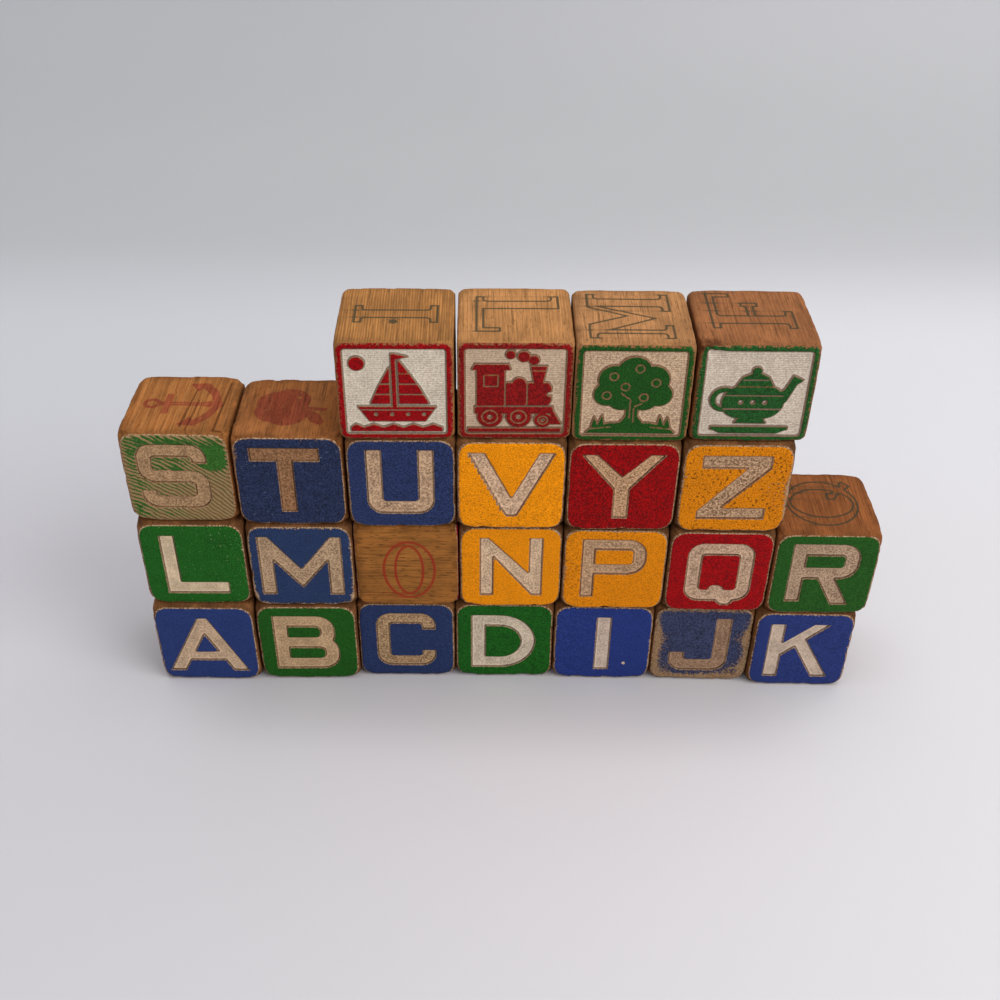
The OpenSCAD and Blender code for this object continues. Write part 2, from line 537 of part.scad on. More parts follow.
// A picture, one unit high and centred
module picture(name) {
  row = find(picture_shares, name);
  difference() {
    union() {
      difference() {
        for (d = row[1]) translate([d[0], d[1]]) circle(d[2]);
        if (name == "umbrella") translate([0, row[1][0][1]]) canopy_cut(row[1][0][2]);
      }
      for (d = row[2]) translate([d[0], d[1]]) difference() {
        circle(d[2]);
        circle(d[3]);
      }
      for (p = row[3]) polygon(p);
      if (name == "star") star_shape(star_r_share, star_r_share * star_inner_share);
    }
    for (d = row[4]) translate([d[0], d[1]]) circle(d[2]);
    for (p = row[5]) line([p[0], p[1]], [p[2], p[3]], line_share);
    for (d = row[6]) translate([d[0], d[1]]) difference() {
      circle(d[2]);
      circle(d[2] - line_share);
    }
  }
}

// A stem with its slab serifs and the curves between them, s times serif to each side
module serif_stem(x, w, h, left = 1, right = 1) {
  bar(x, 0, w, h);
  for (y = [0, h - slab]) bar(x - left * serif, y, w + (left + right) * serif, slab);
  for (top = [0, 1]) translate([x, top * h]) mirror([0, top]) {
    if (left > 0) mirror([1, 0]) bracket();
    if (right > 0) translate([w, 0]) bracket();
  }
}

// The curve between a stem, at x = 0, and the slab under it
module bracket()
  translate([0, slab]) difference() {
    translate([-bracket_r / 2, -bracket_r / 2]) square(bracket_r * 3 / 2);
    translate([bracket_r, bracket_r]) circle(bracket_r - $grow);
  }

// The shape of a printed letter, grown on every side by $grow
module printed_shape(c) {
  h = print_h;
  w = printed_w_share * h;
  s = print_stem;
  lip = slab + serif;
  if (c == "I") serif_stem((w - s) / 2, s, h);
  if (c == "L" || c == "E" || c == "F") serif_stem(serif, s, h, 1, c == "F" ? 1 : 0);
  if (c == "E" || c == "F") {
    bar(serif, h - slab, w - serif, slab);
    bar(w - slab, h - slab - lip, slab, slab + lip);
    bar(serif, (h - slab) / 2, w * printed_arm_share - serif, slab);
    bar(w * printed_arm_share - slab, (h - slab) / 2 - serif / 2, slab, slab + serif);
  }
  if (c == "L" || c == "E") {
    bar(serif, 0, w - serif, slab);
    bar(w - slab, 0, slab, slab + lip);
  }
  if (c == "H" || c == "N") {
    serif_stem(serif, s, h);
    serif_stem(w - s, s, h);
  }
  if (c == "H") bar(serif, (h - slab) / 2, w - serif, slab);
  if (c == "N") slant(w - s / 2, 0, serif - s / 2, h, s);
  if (c == "T") {
    serif_stem((w - s) / 2, s, h);
    bar(0, h - slab, w, slab);
    for (x = [0, w - slab]) bar(x, h - slab - lip, slab, slab + lip);
  }
  if (c == "M") difference() {
    m = printed_m_share * h;
    union() {
      serif_stem(serif, slab, h);
      serif_stem(m - s, s, h);
      intersection() {
        wedge(m_fork_shares, m, h);
        bar(0, 0, m, h);
      }
    }
    let ($grow = -$grow) wedge(m_notch_shares, m, h);
  }
}

// An oval whose width and height are shares of a printed letter's height, g larger all round
module printed_oval(shares, g) {
  rx = print_h / 2 * shares[0] + g;
  ry = print_h / 2 * shares[1] + g;
  polygon([for (i = [0 : oval_steps - 1]) [rx * cos(i * 360 / oval_steps), ry * sin(i * 360 / oval_steps)]]);
}

// The ring of Q, with a tail that starts in a ball inside the ring and ends in a flick
module printed_ring() {
  start = print_h / 2 - print_stem * 3 / 2;
  difference() {
    printed_oval(ring_shares[0], $grow);
    printed_oval(ring_shares[1], -$grow);
  }
  rotate(-45) {
    bar(start, -slab / 2, print_stem * 2, slab);
    bar(start + print_stem * 2 - slab, -slab / 2, slab, slab * 3 / 2);
    translate([start, 0]) circle(slab * ring_ball_share + $grow);
  }
}

// The printed outline of a letter: the grown shape less the shrunk one
module printed_letter(c) {
  w = (c == "M" ? printed_m_share : printed_w_share) * print_h;
  if (c == "O") {
    translate(oval_place_shares * block) for (shares = oval_shares) difference() {
      printed_oval(shares, ink_line / 2);
      printed_oval(shares, -ink_line / 2);
    }
  } else if (c == "Q") {
    difference() {
      let ($grow = ink_line / 2) printed_ring();
      let ($grow = -ink_line / 2) printed_ring();
    }
  } else {
    translate([-w / 2, -print_h / 2]) difference() {
      let ($grow = ink_line / 2) printed_shape(c);
      let ($grow = -ink_line / 2) printed_shape(c);
    }
  }
}

// What stays raised on a stamped face: a field round a letter, or a frame line and a picture
module raised(figure) {
  side = block - 2 * (is_letter(figure) ? field_margin : frame_margin);
  w = $wide - block + side;
  if (is_letter(figure)) difference() {
    pane(-w / 2, -side / 2, w, side, [for (i = [0 : 3]) field_r]);
    letter(figure);
  } else {
    band(-w / 2, -side / 2, w, side, frame_w, [for (i = [0 : 3]) frame_r], frame_r - frame_w);
    scale(picture_w) picture(figure);
  }
}

// Puts a figure drawn in a face's own plane on that face, from a depth under it to a height over it
module on_face(face, depth, height) {
  side = face == "left" || face == "right";
  turn = face == "left" ? -90 : face == "right" ? 90 : face == "back" ? 180 : 0;
  rotate([0, 0, turn]) rotate([face == "top" ? 0 : 90, 0, 0])
    translate([0, 0, (side ? $wide : block) / 2 - depth]) linear_extrude(depth + height) children();
}

// A round-edged prism along Z
module prism(a, b)
  translate([0, 0, -block]) linear_extrude(2 * block)
    pane(-a / 2, -b / 2, a, b, [for (i = [0 : 3]) edge_r]);

// The cube before stamping, thinner by the stamp's depth at its two stamped faces
module core() {
  deep = block - 2 * stamp_depth;
  intersection() {
    prism($wide, deep);
    rotate([90, 0, 0]) prism($wide, block);
    rotate([0, 90, 0]) prism(block, deep);
    sphere(norm([$wide / 2, half, half]) - corner_wear);
  }
}

// Carries a block, whose width is $wide, to its place in the stack
module in_place(i) {
  p = place_shares[i];
  $wide = block + p[5] * nudge_across;
  translate([p[0] * column_pitch + p[2] * nudge_across, p[3] * nudge_depth, p[1] * row_pitch + half])
    rotate(p[4] * nudge_turn) children();
}

// The wood of one block
module wood(i) {
  s = SET[i];
  color(WOOD) in_place(i) rotate(stamp_turn(s[0])) union() {
    core();
    on_face("front", 2 * stamp_depth, 0) raised(s[2]);
    on_face("back", 2 * stamp_depth, 0) raised(s[3]);
  }
}

// The paint on the raised parts of one block's two stamped faces
module paint(i) {
  s = SET[i];
  color(find(PAINTS, s[1])[1]) in_place(i) rotate(stamp_turn(s[0])) {
    on_face("front", 0, coat) raised(s[2]);
    on_face("back", 0, coat) raised(s[3]);
  }
}

// The flat prints of one block
module prints(i) {
  for (p = PRINTS) if (p[0] == SET[i][0]) {
    off = [for (row = print_shares) if (p[1] == "top" && row[0] == p[2]) [row[1], row[2]] * block];
    color(find(INKS, is_letter(p[2]) ? "letter" : "picture")[1]) in_place(i)
      on_face(p[1], 0, ink) translate(len(off) > 0 ? off[0] : [0, 0]) rotate(90 * p[3]) {
        if (is_letter(p[2])) printed_letter(p[2]);
        else scale(print_picture) picture(p[2]);
      }
  }
}

for (i = [0 : len(SET) - 1]) {
  wood(i);
  paint(i);
  prints(i);
}
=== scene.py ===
import bpy
import numpy as np
from mathutils import Matrix


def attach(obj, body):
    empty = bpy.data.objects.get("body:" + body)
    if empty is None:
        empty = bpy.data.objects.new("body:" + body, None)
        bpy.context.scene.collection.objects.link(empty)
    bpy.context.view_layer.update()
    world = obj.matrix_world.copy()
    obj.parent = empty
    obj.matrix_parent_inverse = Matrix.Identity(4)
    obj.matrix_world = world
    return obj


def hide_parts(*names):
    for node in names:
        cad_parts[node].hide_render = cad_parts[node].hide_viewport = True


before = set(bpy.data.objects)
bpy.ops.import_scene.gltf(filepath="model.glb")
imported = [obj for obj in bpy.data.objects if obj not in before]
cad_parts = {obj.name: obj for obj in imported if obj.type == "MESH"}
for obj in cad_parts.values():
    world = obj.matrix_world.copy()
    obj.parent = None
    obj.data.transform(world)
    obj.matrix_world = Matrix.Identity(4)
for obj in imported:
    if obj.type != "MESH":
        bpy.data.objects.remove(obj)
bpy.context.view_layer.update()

# The blue letter blocks. Each is a cube of solid light wood, cut so that the grain runs from
# one stamped face to the other. The stamp presses the letter in and leaves a field round it,
# which is rolled with paint; years of play have rounded, chipped and soiled all of it.

# metres to the millimetre, and how squarely a triangle has to look ahead to be the front's
MM = 0.001
SQUARE_ON = 0.98


def vertices(mesh):
    """A mesh's vertices, in millimetres, one to a row."""
    flat = np.zeros(len(mesh.vertices) * 3)
    mesh.vertices.foreach_get("co", flat)
    return flat.reshape(-1, 3) / MM


def unturn(points, turn):
    """Turns points about the vertical through the origin by minus the angle."""
    c, s = np.cos(turn), np.sin(turn)
    return points @ np.array([[c, -s, 0], [s, c, 0], [0, 0, 1]])


def measure(block):
    """A CAD block's middle, its turn about the vertical and its half sizes, in millimetres.
    The turn is that of the mean normal of the triangles that look to the front."""
    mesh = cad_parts[block].data
    normals = np.zeros(len(mesh.polygons) * 3)
    areas = np.zeros(len(mesh.polygons))
    mesh.polygons.foreach_get("normal", normals)
    mesh.polygons.foreach_get("area", areas)
    normals = normals.reshape(-1, 3)
    front = normals[:, 1] < -SQUARE_ON
    across, ahead = (normals[front, :2] * areas[front, None]).sum(0)
    turn = np.arctan2(across, -ahead)
    points = unturn(vertices(mesh), turn)
    low, high = points.min(0), points.max(0)
    return (low + high) / 2, turn, (high - low) / 2


# points are taken in parts, which keeps the tables small
POINTS_AT_ONCE = 1500


def nearest(points, segments):
    """Each point's distance to the nearest segment, the place where that is, the segment's
    number, and how many segments a ray to the right crosses: odd inside the outline."""
    a, b = segments[:, 0], segments[:, 1]
    along = b - a
    distance, place, number, crossed = [], [], [], []
    for part in np.array_split(points, len(points) // POINTS_AT_ONCE + 1):
        from_a = part[:, None] - a
        share = np.clip((from_a * along).sum(2) / (along**2).sum(1), 0, 1)
        foot = a + share[..., None] * along
        gap = np.hypot(*np.moveaxis(part[:, None] - foot, 2, 0))
        best = gap.argmin(1)
        rows = np.arange(len(part))
        distance.append(gap[rows, best])
        place.append(foot[rows, best])
        number.append(best)
        straddles = (a[:, 1] > part[:, None, 1]) != (b[:, 1] > part[:, None, 1])
        rise = np.where(along[:, 1] == 0, 1, along[:, 1])
        meets = a[:, 0] + (part[:, None, 1] - a[:, 1]) / rise * along[:, 0]
        crossed.append((straddles & (meets > part[:, None, 0])).sum(1))
    return [np.concatenate(v) for v in (distance, place, number, crossed)]


# half the width of a printed line, and a step off its edge
HALF_LINE = 0.21
BESIDE_EDGE = 0.01


def from_line(points, segments):
    """Each point's distance from the middle of a printed line, below zero outside what the
    line goes round. The line's two edges are half a line from its middle: which of them is
    nearest tells the side."""
    distance, _, number, crossed = nearest(points, segments)
    along = segments[:, 1] - segments[:, 0]
    off = np.stack([along[:, 1], -along[:, 0]], 1) / np.hypot(*along.T)[:, None] * BESIDE_EDGE
    middle = segments.mean(1)
    right, left = (nearest(middle + shift, segments)[3] for shift in (off, -off))
    bare = np.where(right % 2 == 0, right, left)
    within = np.where(bare // 2 % 2 == 1, 1, -1)
    inked = crossed % 2 == 1
    side = np.where(inked, within[number], np.where(crossed // 2 % 2 == 1, 1, -1))
    return side * (HALF_LINE + np.where(inked, -distance, distance))


def shell(cells):
    """The surface of a lattice of so many cells each way: every point's three whole numbers,
    and the quads of the six sides, which share the points of their seams and wind outwards."""
    numbers = np.moveaxis(np.indices(np.array(cells) + 1), 0, -1)
    surface = ((numbers == 0) | (numbers == cells)).any(-1)
    index = np.full(surface.shape, -1)
    index[surface] = np.arange(surface.sum())
    quads = []
    for axis in range(3):
        for end in (0, cells[axis]):
            s = index.take(end, axis)
            quad = np.stack([s[:-1, :-1], s[1:, :-1], s[1:, 1:], s[:-1, 1:]], -1).reshape(-1, 4)
            quads.append(quad if (end > 0) != (axis == 1) else quad[:, ::-1])
    return numbers[surface], np.concatenate(quads)


# how many waves, about how many radians of them to the scale, and how far they are shifted
WAVES = 8
RADIANS = 2.5
SHIFT = 6.3


def waves(points, scale, seed):
    """Smooth unevenness from -1 to 1: a third of the sum of eight sine waves of different
    directions, their lengths about the scale, held within those limits."""
    draw = np.random.default_rng(seed)
    push = draw.normal(size=(3, WAVES)) * RADIANS / scale
    shift = draw.uniform(0, SHIFT, WAVES)
    return np.clip(np.sin(points @ push + shift).sum(1) / 3, -1, 1)


def bell(distance, width):
    """1 at no distance, falling off both ways as the normal curve of that width."""
    return np.exp(-((distance / width) ** 2))


def beside(flat, start, end):
    """How far each point is along a line, as a share of it, and how far off it."""
    run = np.subtract(end, start)
    share = np.clip((flat - start) @ run / (run @ run), 0, 1)
    return share, np.hypot(*(flat - start - share[:, None] * run).T)


# each side's axis, whether it is that axis's far end, and the two axes of its plane
SIDES = {
    "front": (1, 0, (0, 2)),
    "back": (1, 1, (0, 2)),
    "left": (0, 0, (1, 2)),
    "right": (0, 1, (1, 2)),
    "top": (2, 1, (0, 1)),
}
# the blocks whose tops have a picture that is printed full
FULL_PICTURES = ("s", "t")

# the skins of the CAD: how far above the wood the outer sheet lies at least, and the distance
# from paint or ink beyond which nothing is measured
OUTER_SHEET = 0.03
FAR = 5.0
# moving points on to an outline: within this share of a cell, and so far off the block's edge
SNAP = 0.45
KEEP_OFF = 1.5
# the stamp: the width of the block's border, how deep the ground and the border go, and how
# wide the lip is
BORDER = 1.9
PRESS = 0.5
LIP = 0.12
LIP_WIDTH = 0.3
# paint that runs over an edge: from where, and over what width it thins out
WRAP_REACH = 1.19
WRAP_FADE = 0.7
# torn paint: the slant and the length of its teeth
TOOTH_SLANT = 0.8
TOOTH_LENGTH = 1.3
# the rounding: the edges' radius, by what share it wavers in waves of what length, what the
# corners add to it, and how far that reaches
EDGE_ROUND = 1.15
EDGE_WAVER, WAVER_WAVE = 0.22, 5.0
CORNER_ROUND = 2.1
CORNER_REACH = 3.4
# the dents: how far from the edges they reach, and the depth and wave length of each kind;
# nicks come only where their waves, doubled, are above a limit
EDGE_REACH = 1.3
FRAY, FRAY_WAVE = 0.06, 2.1
NICK, NICK_WAVE, NICK_LIMIT = 0.34, 3.7, 1.1
WARP, WARP_WAVE = 0.03, 9.0
CRUSH, CRUSH_WAVE = 0.5, 1.5
# the wear that every place has, and what the edges add to it
HANDLED = 0.2
EDGE_WEAR = 0.30
# each block's place in the wood is shifted by up to this, so that no two blocks are alike
LOG = 300


class Cube:
    """A block on its way from a plain box to a worn piece: the points of a box lattice, in
    millimetres from its middle. What the finish needs to know is kept at each point: the
    distance inside the paint, from the printed line and from the nearest edge, how worn and
    how bruised the place is, and whether it is stamped ground or a full printed picture."""

    def __init__(self, name, seed, cells):
        self.name, self.seed, self.cells = name, seed, cells
        self.middle, self.turn, self.half = measure("block_" + name)
        self.numbers, self.quads = shell(cells)
        self.points = (self.numbers / np.array(cells) * 2 - 1) * self.half
        self.press = np.zeros_like(self.points)
        count = len(self.points)
        self.at = {key: np.zeros(count) for key in ("ground", "edge", "bruise", "solid")}
        self.at["paint"] = np.full(count, -FAR)
        self.at["ink"] = np.full(count, FAR)
        self.at["wear"] = np.full(count, HANDLED)

    def side(self, name):
        """One side's rows among the points, and its points' places in its plane."""
        axis, end, plane = SIDES[name]
        rows = np.flatnonzero(self.numbers[:, axis] == end * self.cells[axis])
        return rows, self.points[np.ix_(rows, plane)]

    def outline(self, skin, side):
        """What a CAD skin draws on one side, as line segments in that side's plane: the edges
        that only one triangle of the skin's outer sheet has."""
        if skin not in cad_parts:
            return None
        axis, end, plane = SIDES[side]
        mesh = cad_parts[skin].data
        corners = np.zeros(len(mesh.loops), int)
        mesh.loops.foreach_get("vertex_index", corners)
        corners = corners.reshape(-1, 3)
        points = unturn(vertices(mesh), self.turn) - self.middle
        height = points[:, axis] * (1 if end else -1) - self.half[axis]
        outer = (height > OUTER_SHEET)[corners].all(1)
        if not outer.any():
            return None
        flat, ids = np.unique(points[:, plane].round(3), axis=0, return_inverse=True)
        triangles = ids.ravel()[corners[outer]]
        edges = np.sort(triangles[:, [[0, 1], [1, 2], [2, 0]]].reshape(-1, 2), axis=1)
        edges, times = np.unique(edges[edges[:, 0] != edges[:, 1]], axis=0, return_counts=True)
        return flat[edges[times == 1]]

    def stamp(self, side, wrap):
        """Stamps and paints one side. The points nearest the outline move on to it, so that it
        stays sharp. The ground goes down by the stamp's depth, over a straight lip, and the
        unpainted border by a little, less towards the block's edge. Wrap is how much further
        the paint runs over the edges."""
        lines = self.outline("paint_" + self.name, side)
        if lines is None:
            return
        axis, end, plane = SIDES[side]
        rows, flat = self.side(side)
        room = (self.half[list(plane)] - np.abs(flat)).min(1)
        distance, place, _, crossed = nearest(flat, lines)
        distance *= np.where(crossed % 2 == 1, 1, -1)
        cell = 2 * self.half[0] / self.cells[0]
        snap = (np.abs(distance) < SNAP * cell) & (room > KEEP_OFF)
        distance[snap] = 0
        self.points[np.ix_(rows[snap], plane)] = place[snap]
        self.at["paint"][rows] = distance + wrap * np.clip((WRAP_REACH - room) / WRAP_FADE, 0, 1)
        inner = room > BORDER
        self.at["ground"][rows] = inner & (distance < 0)
        depth = np.where(inner, PRESS, LIP * np.clip(room, 0, 1))
        self.press[rows, axis] = np.clip(-distance / LIP_WIDTH, 0, 1) * depth * (-1 if end else 1)

    def print_line(self, side):
        """Measures how far each point of a side is from its printed line, or from the edge
        of a picture that is printed full."""
        lines = self.outline("print_" + self.name, side)
        if lines is None:
            return
        rows, flat = self.side(side)
        if self.name in FULL_PICTURES and side == "top":
            distance, _, _, crossed = nearest(flat, lines)
            inside = np.where(crossed % 2 == 1, distance, -distance)
            self.at["ink"][rows] = np.clip(HALF_LINE - inside, 0, FAR)
            self.at["solid"][rows] = 1
        else:
            self.at["ink"][rows] = from_line(flat, lines)

    def scuff(self, scuffs):
        """Adds wear to the front: a bell round each place, of its own radius and strength."""
        rows, flat = self.side("front")
        for x, z, radius, much in scuffs:
            self.at["wear"][rows] += much * bell(np.hypot(*(flat - (x, z)).T), radius)

    def tear(self, teeth):
        """Tears the front's paint along a line: teeth of a saw wave, slanted, that fall off
        as a bell beside the line."""
        rows, flat = self.side("front")
        for x, z, x2, z2, pitch, depth in teeth:
            share, off = beside(flat, (x, z), (x2, z2))
            saw = (share * np.hypot(x2 - x, z2 - z) + off * TOOTH_SLANT) / pitch % 1
            self.at["paint"][rows] -= depth * bell(off, TOOTH_LENGTH) * saw

    def cut(self, cuts):
        """Presses lines into the top: each a groove with the section of a bell."""
        rows, flat = self.side("top")
        for x, y, x2, y2, width, depth in cuts:
            groove = bell(beside(flat, (x, y), (x2, y2))[1], width)
            self.press[rows, 2] -= depth * groove
            self.at["bruise"][rows] = np.maximum(self.at["bruise"][rows], groove)

    def blot(self, blots):
        """Drops round blots of ink on the top."""
        rows, flat = self.side("top")
        for x, y, radius in blots:
            off = np.clip(np.hypot(*(flat - (x, y)).T) - radius, 0, FAR)
            ink = self.at["ink"][rows]
            self.at["ink"][rows] = np.where(off < np.abs(ink), off, ink)

    def batter(self, much, knocks):
        """Rounds and dents the block. The radius of the edges wavers and grows towards the
        corners as a bell, and each point beyond the core of that radius moves on to the arc
        round it. Then waves fray and nick the edges and warp the flats, and each knock pushes
        an uneven bell inwards."""
        seed, at = self.seed, self.at
        room = self.half - np.abs(self.points)
        at["edge"] = np.sort(room, axis=1)[:, 1]
        corner = np.sqrt((room**2).sum(1))
        radius = EDGE_ROUND * (1 + EDGE_WAVER * waves(self.points, WAVER_WAVE, seed) * much)
        radius += much * CORNER_ROUND * bell(corner, CORNER_REACH)
        core = self.half - radius[:, None]
        inner = np.clip(self.points, -core, core)
        out = self.points - inner
        outward = out / np.linalg.norm(out, axis=1)[:, None]
        points = inner + outward * radius[:, None] + self.press
        near = bell(at["edge"], EDGE_REACH)
        nicks = np.clip(waves(points, NICK_WAVE, seed + 2) * 2 - NICK_LIMIT, 0, 1)
        dent = near * FRAY * (1 + waves(points, FRAY_WAVE, seed + 1)) * much
        dent += near * NICK * much * nicks
        dent += WARP * (1 + waves(points, WARP_WAVE, seed + 3))
        for x, y, z, radius, depth in knocks:
            knock = bell(np.linalg.norm(points - (x, y, z), axis=1), radius)
            knock *= 1 + CRUSH * waves(points, CRUSH_WAVE, seed + 4)
            dent += depth * knock
            at["bruise"] = np.maximum(at["bruise"], knock)
        self.points = points - outward * dent[:, None]
        at["wear"] += EDGE_WEAR * near * much

    def place_in_log(self, heart, lean, along):
        """Each point's place in the wood: its distance from the log's heart, the arc round
        it and the length along the grain. The heart lies so many millimetres off, leaning by
        so many degrees from upright."""
        across, up = [axis for axis in range(3) if axis != along]
        s = self.points[:, across] + heart * np.sin(np.radians(lean))
        t = self.points[:, up] + heart * np.cos(np.radians(lean))
        wood = np.stack([np.hypot(s, t), np.arctan2(s, t) * heart, self.points[:, along]], 1)
        return wood + np.random.default_rng(self.seed).uniform(-LOG, LOG, 3)

    def piece(self, wood):
        """The block as an object at the origin, its points in their place in the stack, with
        what is known at each point as attributes."""
        mesh = bpy.data.meshes.new("worn_" + self.name)
        placed = unturn(self.points + self.middle, -self.turn) * MM
        mesh.from_pydata(placed.tolist(), [], self.quads.tolist())
        mesh.shade_smooth()
        for key, values in self.at.items():
            attribute = mesh.attributes.new(key, "FLOAT", "POINT")
            attribute.data.foreach_set("value", values.astype(np.float32))
        attribute = mesh.attributes.new("wood", "FLOAT_VECTOR", "POINT")
        attribute.data.foreach_set("vector", wood.astype(np.float32).ravel())
        mesh.update()
        piece = bpy.data.objects.new("worn_" + self.name, mesh)
        bpy.context.scene.collection.objects.link(piece)
        return piece


class Signal:
    """The output of a shader node. Sums on signals add the Math nodes that work them out."""

    def __init__(self, tree, socket):
        self.tree, self.socket = tree, socket

    def maths(self, operation, *values):
        """Adds the Math node of that name, for one or two values."""
        return node(self.tree, "ShaderNodeMath", {"operation": operation}, dict(enumerate(values)))

    def __add__(self, other):
        return self.maths("ADD", self, other)

    def __sub__(self, other):
        return self.maths("SUBTRACT", self, other)

    def __rsub__(self, other):
        return self.maths("SUBTRACT", other, self)

    def __mul__(self, other):
        return self.maths("MULTIPLY", self, other)

    def __abs__(self):
        return self.maths("ABSOLUTE", self)

    __radd__ = __add__
    __rmul__ = __mul__

    def fraction(self):
        """What is left over the whole number: a saw wave."""
        return self.maths("FRACT", self)

    def rise(self, low, high):
        """0 below low, 1 above high, and a smooth step between; falls if low is the higher."""
        settings = {"interpolation_type": "SMOOTHSTEP", "clamp": True}
        if low > high:
            return 1 - self.rise(high, low)
        return node(self.tree, "ShaderNodeMapRange", settings, {0: self, 1: low, 2: high})


def node(tree, kind, settings, inputs, output=0):
    """Adds any node: its settings first, then the value or the link of each named socket."""
    n = tree.nodes.new(kind)
    for key, value in settings.items():
        setattr(n, key, value)
    for key, value in inputs.items():
        if isinstance(value, Signal):
            tree.links.new(value.socket, n.inputs[key])
        else:
            n.inputs[key].default_value = value
    return Signal(tree, n.outputs[output]) if n.outputs else None


def mix(tree, factor, a, b, blend="MIX"):
    """One colour over another, by a factor."""
    settings = {"data_type": "RGBA", "blend_type": blend}
    return node(tree, "ShaderNodeMix", settings, {0: factor, 6: a, 7: b}, 2)


def colour(r, g, b):
    """A colour as it looks on a screen, 0 to 255, as the light that a shader works with: a
    straight line for the darkest, and else a power of 2.4."""
    c = np.array([r, g, b]) / 255
    return (*np.where(c < 0.04045, c / 12.92, ((c + 0.055) / 1.055) ** 2.4).tolist(), 1.0)


def shade(c, factor):
    """A colour lighter or darker by a factor."""
    return (*(min(1.0, v * factor) for v in c[:3]), 1.0)


# noises: how many lumps to the millimetre, each way or in all, then the detail and how rough
# it is. Those of the wood are stretched along the grain, the last of their three ways.
DRIFT = (0.12, 0.12, 0.02), 3, 0.55
FIBRE = (2.5, 2.5, 0.05), 4, 0.7
THREAD = (1.9, 1.9, 0.07), 3, 0.7
OPEN_PORE = (1.9, 1.9, 0.45), 2, 0.5
SOILED_PATCH = (0.12, 0.12, 0.07), 3, 0.6
TORN_STREAK = (0.95, 0.17, 0.05), 3, 0.6
GRIME = 0.16, 4, 0.65
BLOTCH = 0.25, 3, 0.6
PIT = 1.25, 1, 0.5
FLECK = 1.4, 5, 0.75
SPECK = 1.5, 2, 0.6
FUZZ = 1.6, 4, 0.7
GRIT = 1.75, 3, 0.75
GRAIN = 2.3, 2, 0.6

# colours: what the wood and a full picture's ink multiply what is under them with, and what
# lies in the pits of the ground, on the broken rim of the wood and between torn paint
LATE_WOOD = (0.66, 0.50, 0.36, 1)
PALE_FIBRE = (1.6, 1.6, 1.55, 1)
CRUSHED_WOOD = (1.0, 0.7, 0.55)
PICTURE_INK = (0.72, 0.36, 0.60, 1)
PIT_DIRT = (96, 64, 38)
BROKEN_WOOD = (184, 155, 124)
TORN_WOOD = (84, 62, 34)

# how light each mark is against the wood, the ground or the coat that it lies on
CLEAN, SOILED = 1.10, 0.84
DARK_THREAD = 0.42
DARK_PORE = 0.26
RUBBED_AND_LIT_RIDGE = 1.5
EDGE_DIRT_AND_SHADE = 0.30
BRUISE = 0.26
LIGHT_GRAIN = 1.7
FURROW_DIRT_AND_SHADE = 0.40
MARGIN_DIRT = 0.75
# painted highlight of the ground beside the paint
HALO_HIGHLIGHT = 1.5
COAT_GRIT = 0.40
COAT_PIT = 0.30
BARED_GROUND = 1.1

# how much of a full layer some marks and the ink have
RUBBED_AND_LIT_COVER = 0.5
GRIT_COVER = 0.6
MARKED_BY_WEAR = 1.6
INK_COVER = 0.88
# how far past the line's edge the ink thins out, and how far inside it that begins
INK_PAST, INK_WITHIN = 0.12, 0.02
# paint lost at any place, with full wear and at the very edge, as a share of the flecks
LOST, LOST_BY_WEAR, LOST_AT_EDGE = 0.08, 0.42, 0.36
# how many millimetres the fuzz moves the rims, the dark line of dirt and painted shadow at the lip, the
# coat's edge and a printed line
RIM_FUZZ, DIRT_AND_SHADE_LINE_FUZZ, COAT_FUZZ, LINE_FUZZ = 0.9, 0.35, 0.6, 0.10
# the millimetres from rib to rib, how much of a rib the fuzz moves it, and how many rings the
# drift moves a ring
RIB, RIB_DRIFT, RING_DRIFT = 0.58, 0.4, 2.6
# heights, as shares of the bump's, which is in millimetres
FIBRE_UP, LATE_DOWN, PORE_DOWN, PAINT_UP, FLECK_UP, GRIT_UP = 0.35, 0.25, 0.4, 0.9, 0.15, 0.9
BUMP_STRENGTH, BUMP_HEIGHT = 0.8, 0.11
# the roughness of bare wood, what fibres add to it and what paint takes from it
MATT, FIBRE_MATT, PAINT_SMOOTH = 0.74, 0.1, 0.22
GLOSS = 0.10


class Style:
    """How one block's finish came out and how it has worn, as shares from 0 to 1 where
    nothing else is said. A block's own values go over these."""

    rings = 0.4  # how dark the late wood of a ring is
    every = 1.6  # millimetres from ring to ring
    streaks = 0.5  # light fibres and dark threads
    dashes = 0.3  # open pores
    top_soil = 0.7  # dirt and painted shade along the bare edges
    stipple = 0.6  # pits and light grains of the stamped ground
    patchy = 0.16  # its light and dark patches
    ribs = 0.0  # its level ribs
    soiled = 0.75  # dirt round the painted field
    halo = 0.3  # painted highlight: a light rim of the ground beside the paint
    rim = 0.85  # light rim of broken wood
    dirt_and_shade_line = 1.0  # dark line of dirt and painted shadow along the stamp's lip
    mottle = 0.3  # light and dark in the coat
    pores = 0.25  # dark pits in the coat
    specks = 0.15  # light specks on the coat, and their colour
    speck = (176, 172, 162)
    chips = 0.35  # paint lost along the edges, and how many millimetres in
    reach = 2.6
    soft = 0.02  # how gradually lost paint thins out
    torn = 0.0  # how far lost paint follows the rings
    bared = 0.75  # how clean the ground is where paint is lost, and its colour if another
    beneath = None
    ink = (62, 57, 40)  # colour of the printed line, and how far it has faded
    faded = 0.0
    swell = 0.05  # millimetres that the line has spread

    def __init__(self, own):
        vars(self).update(own)


